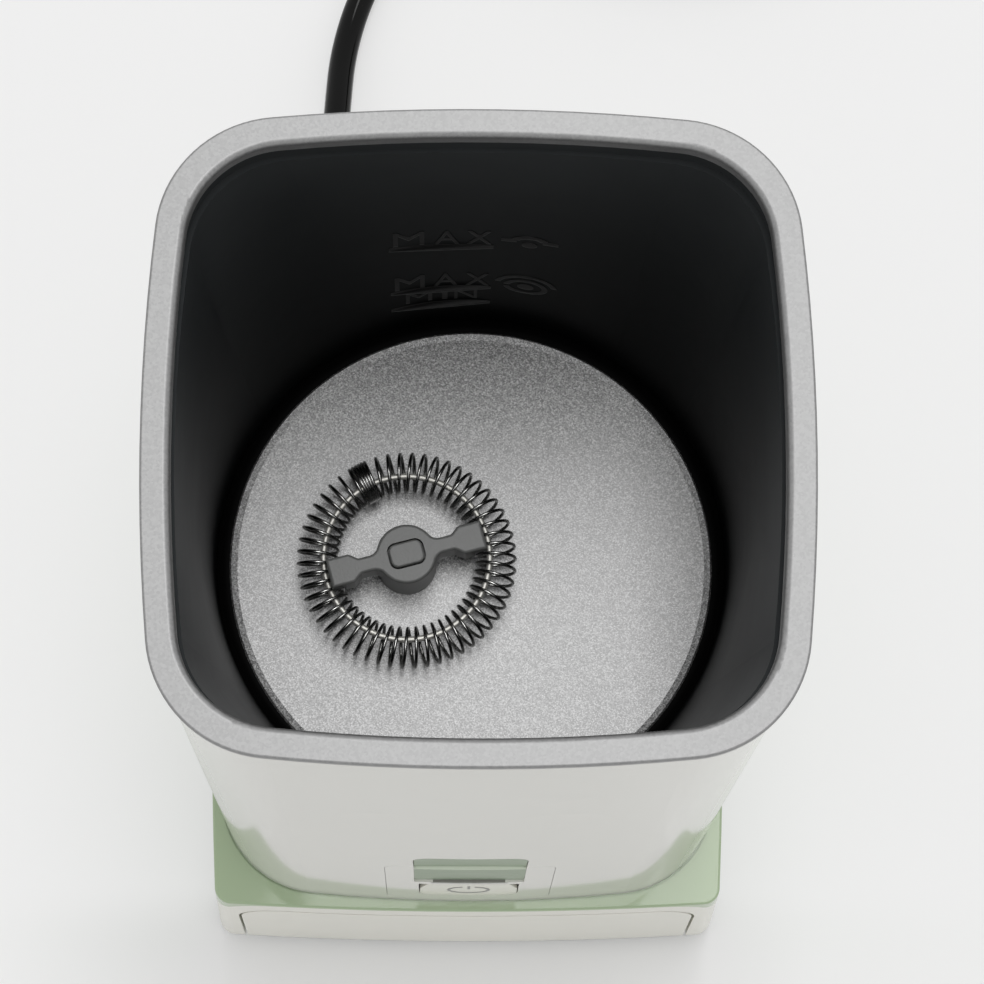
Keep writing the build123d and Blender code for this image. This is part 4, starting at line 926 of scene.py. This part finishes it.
class FROTHER_OT_stage(bpy.types.Operator):
    """Camera, lamps, sky and pale floor"""

    bl_idname = "frother.stage"
    bl_label = "Studio"

    def execute(self, context):
        given = settings().stage
        self.camera(given)
        self.floor(given)
        self.lamps(given)
        context.scene.view_settings.view_transform = "Standard"
        return {"FINISHED"}

    def camera(self, given):
        """Camera at the photograph's place."""
        pitch, yaw, roll = (math.radians(angle) for angle in (given.pitch, given.yaw, given.roll))
        ahead = Vector((math.sin(yaw) * math.cos(pitch), math.cos(yaw) * math.cos(pitch), -math.sin(pitch)))
        level = Vector((math.cos(yaw), -math.sin(yaw), 0.0))
        rise = level.cross(ahead)
        right = level * math.cos(roll) + rise * math.sin(roll)
        up = rise * math.cos(roll) - level * math.sin(roll)
        data = bpy.data.cameras.new("camera")
        data.sensor_width = 36.0
        data.lens = data.sensor_width * given.focal_share
        data.clip_start = 0.01
        camera = bpy.data.objects.new("camera", data)
        bpy.context.scene.collection.objects.link(camera)
        turn = Matrix((right, up, -ahead)).transposed().to_4x4()
        camera.matrix_world = Matrix.Translation(given.camera_place) @ turn
        bpy.context.scene.camera = camera

    def floor(self, given):
        """Pale floor, large enough for every view."""
        shape = bmesh.new()
        bmesh.ops.create_circle(shape, cap_ends=True, segments=64, radius=given.floor_radius)
        mesh = bpy.data.meshes.new("floor")
        shape.to_mesh(mesh)
        shape.free()
        floor = bpy.data.objects.new("floor", mesh)
        bpy.context.scene.collection.objects.link(floor)
        pale = moulded("pale_floor", given.floor, 0.6, cloud=0.01, roughness_spread=0.02)
        mesh.materials.append(pale)
        self.lift(pale, given)
        floor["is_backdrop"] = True

    def lift(self, pale, given):
        """Let part of the floor show its plain colour to the camera, so that the background stays pale."""
        tree = pale.node_tree
        path = add_node(tree, "ShaderNodeLightPath")
        place = add_node(tree, "ShaderNodeSeparateXYZ")
        link(tree, add_node(tree, "ShaderNodeTexCoord").outputs["Object"], place.inputs[0])
        behind = add_node(tree, "ShaderNodeMapRange", interpolation_type="SMOOTHSTEP")
        behind.inputs["From Min"].default_value = given.lift_start
        behind.inputs["From Max"].default_value = given.lift_full
        behind.inputs["To Max"].default_value = given.floor_lift
        link(tree, place.outputs["Y"], behind.inputs["Value"])
        share = add_node(tree, "ShaderNodeMath", operation="MULTIPLY")
        link(tree, behind.outputs["Result"], share.inputs[1])
        link(tree, path.outputs["Is Camera Ray"], share.inputs[0])
        plain = add_node(tree, "ShaderNodeEmission")
        plain.inputs["Color"].default_value = (*given.floor, 1.0)
        both = add_node(tree, "ShaderNodeMixShader")
        output = next(node for node in tree.nodes if node.type == "OUTPUT_MATERIAL")
        shader = next(node for node in tree.nodes if node.type == "BSDF_PRINCIPLED")
        link(tree, share.outputs[0], both.inputs["Fac"])
        link(tree, shader.outputs["BSDF"], both.inputs[1])
        link(tree, plain.outputs["Emission"], both.inputs[2])
        link(tree, both.outputs["Shader"], output.inputs["Surface"])

    def lamps(self, given):
        """Even sky and one large lamp overhead."""
        world = bpy.data.worlds.new("studio")
        world.use_nodes = True
        tree = world.node_tree
        path = add_node(tree, "ShaderNodeLightPath")
        strength = add_node(tree, "ShaderNodeMapRange")
        strength.inputs["To Min"].default_value = given.sky
        strength.inputs["To Max"].default_value = given.surround
        link(tree, path.outputs["Is Glossy Ray"], strength.inputs["Value"])
        link(tree, strength.outputs["Result"], tree.nodes["Background"].inputs["Strength"])
        tree.nodes["Background"].inputs["Color"].default_value = (1.0, 1.0, 1.0, 1.0)
        bpy.context.scene.world = world
        data = bpy.data.lights.new("key", "AREA")
        data.energy = given.key
        data.shape = "RECTANGLE"
        data.size = given.key_width
        data.size_y = given.key_depth
        lamp = bpy.data.objects.new("key", data)
        bpy.context.scene.collection.objects.link(lamp)
        lamp.location = given.key_place


OPERATORS = (
    FROTHER_OT_stage,
    FROTHER_OT_lead,
    FROTHER_OT_jacket,
    FROTHER_OT_vessel,
    FROTHER_OT_marks,
    FROTHER_OT_whisk,
    FROTHER_OT_button,
    FROTHER_OT_base,
    FROTHER_OT_works,
)


class FROTHER_PT_panel(bpy.types.Panel):
    """Sidebar list of the frother's operators"""

    bl_idname = "FROTHER_PT_panel"
    bl_label = "Milk frother"
    bl_space_type = "VIEW_3D"
    bl_region_type = "UI"
    bl_category = "Frother"

    def draw(self, context):
        for operator in OPERATORS:
            self.layout.operator(operator.bl_idname)


CLASSES = (
    FrotherColours,
    FrotherLead,
    FrotherSpring,
    FrotherMarks,
    FrotherStage,
    FrotherSettings,
    *OPERATORS,
    FROTHER_PT_panel,
)


def register():
    for kind in CLASSES:
        bpy.utils.register_class(kind)
    bpy.types.Scene.frother = PointerProperty(type=FrotherSettings)


def unregister():
    del bpy.types.Scene.frother
    for kind in reversed(CLASSES):
        bpy.utils.unregister_class(kind)


def main():
    """Dress the frother, set up the studio and work out both boxes."""
    register()
    bpy.ops.frother.stage()
    bpy.ops.frother.lead()
    bpy.ops.frother.jacket()
    bpy.ops.frother.vessel()
    bpy.ops.frother.marks()
    bpy.ops.frother.whisk()
    bpy.ops.frother.button()
    bpy.ops.frother.base()
    bpy.ops.frother.works()
    boxes = {"cad": cad_box, "visual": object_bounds()}
    {name: [list(map(float, corner)) for corner in box] for name, box in boxes.items()}


if __name__ == "__main__":
    main()
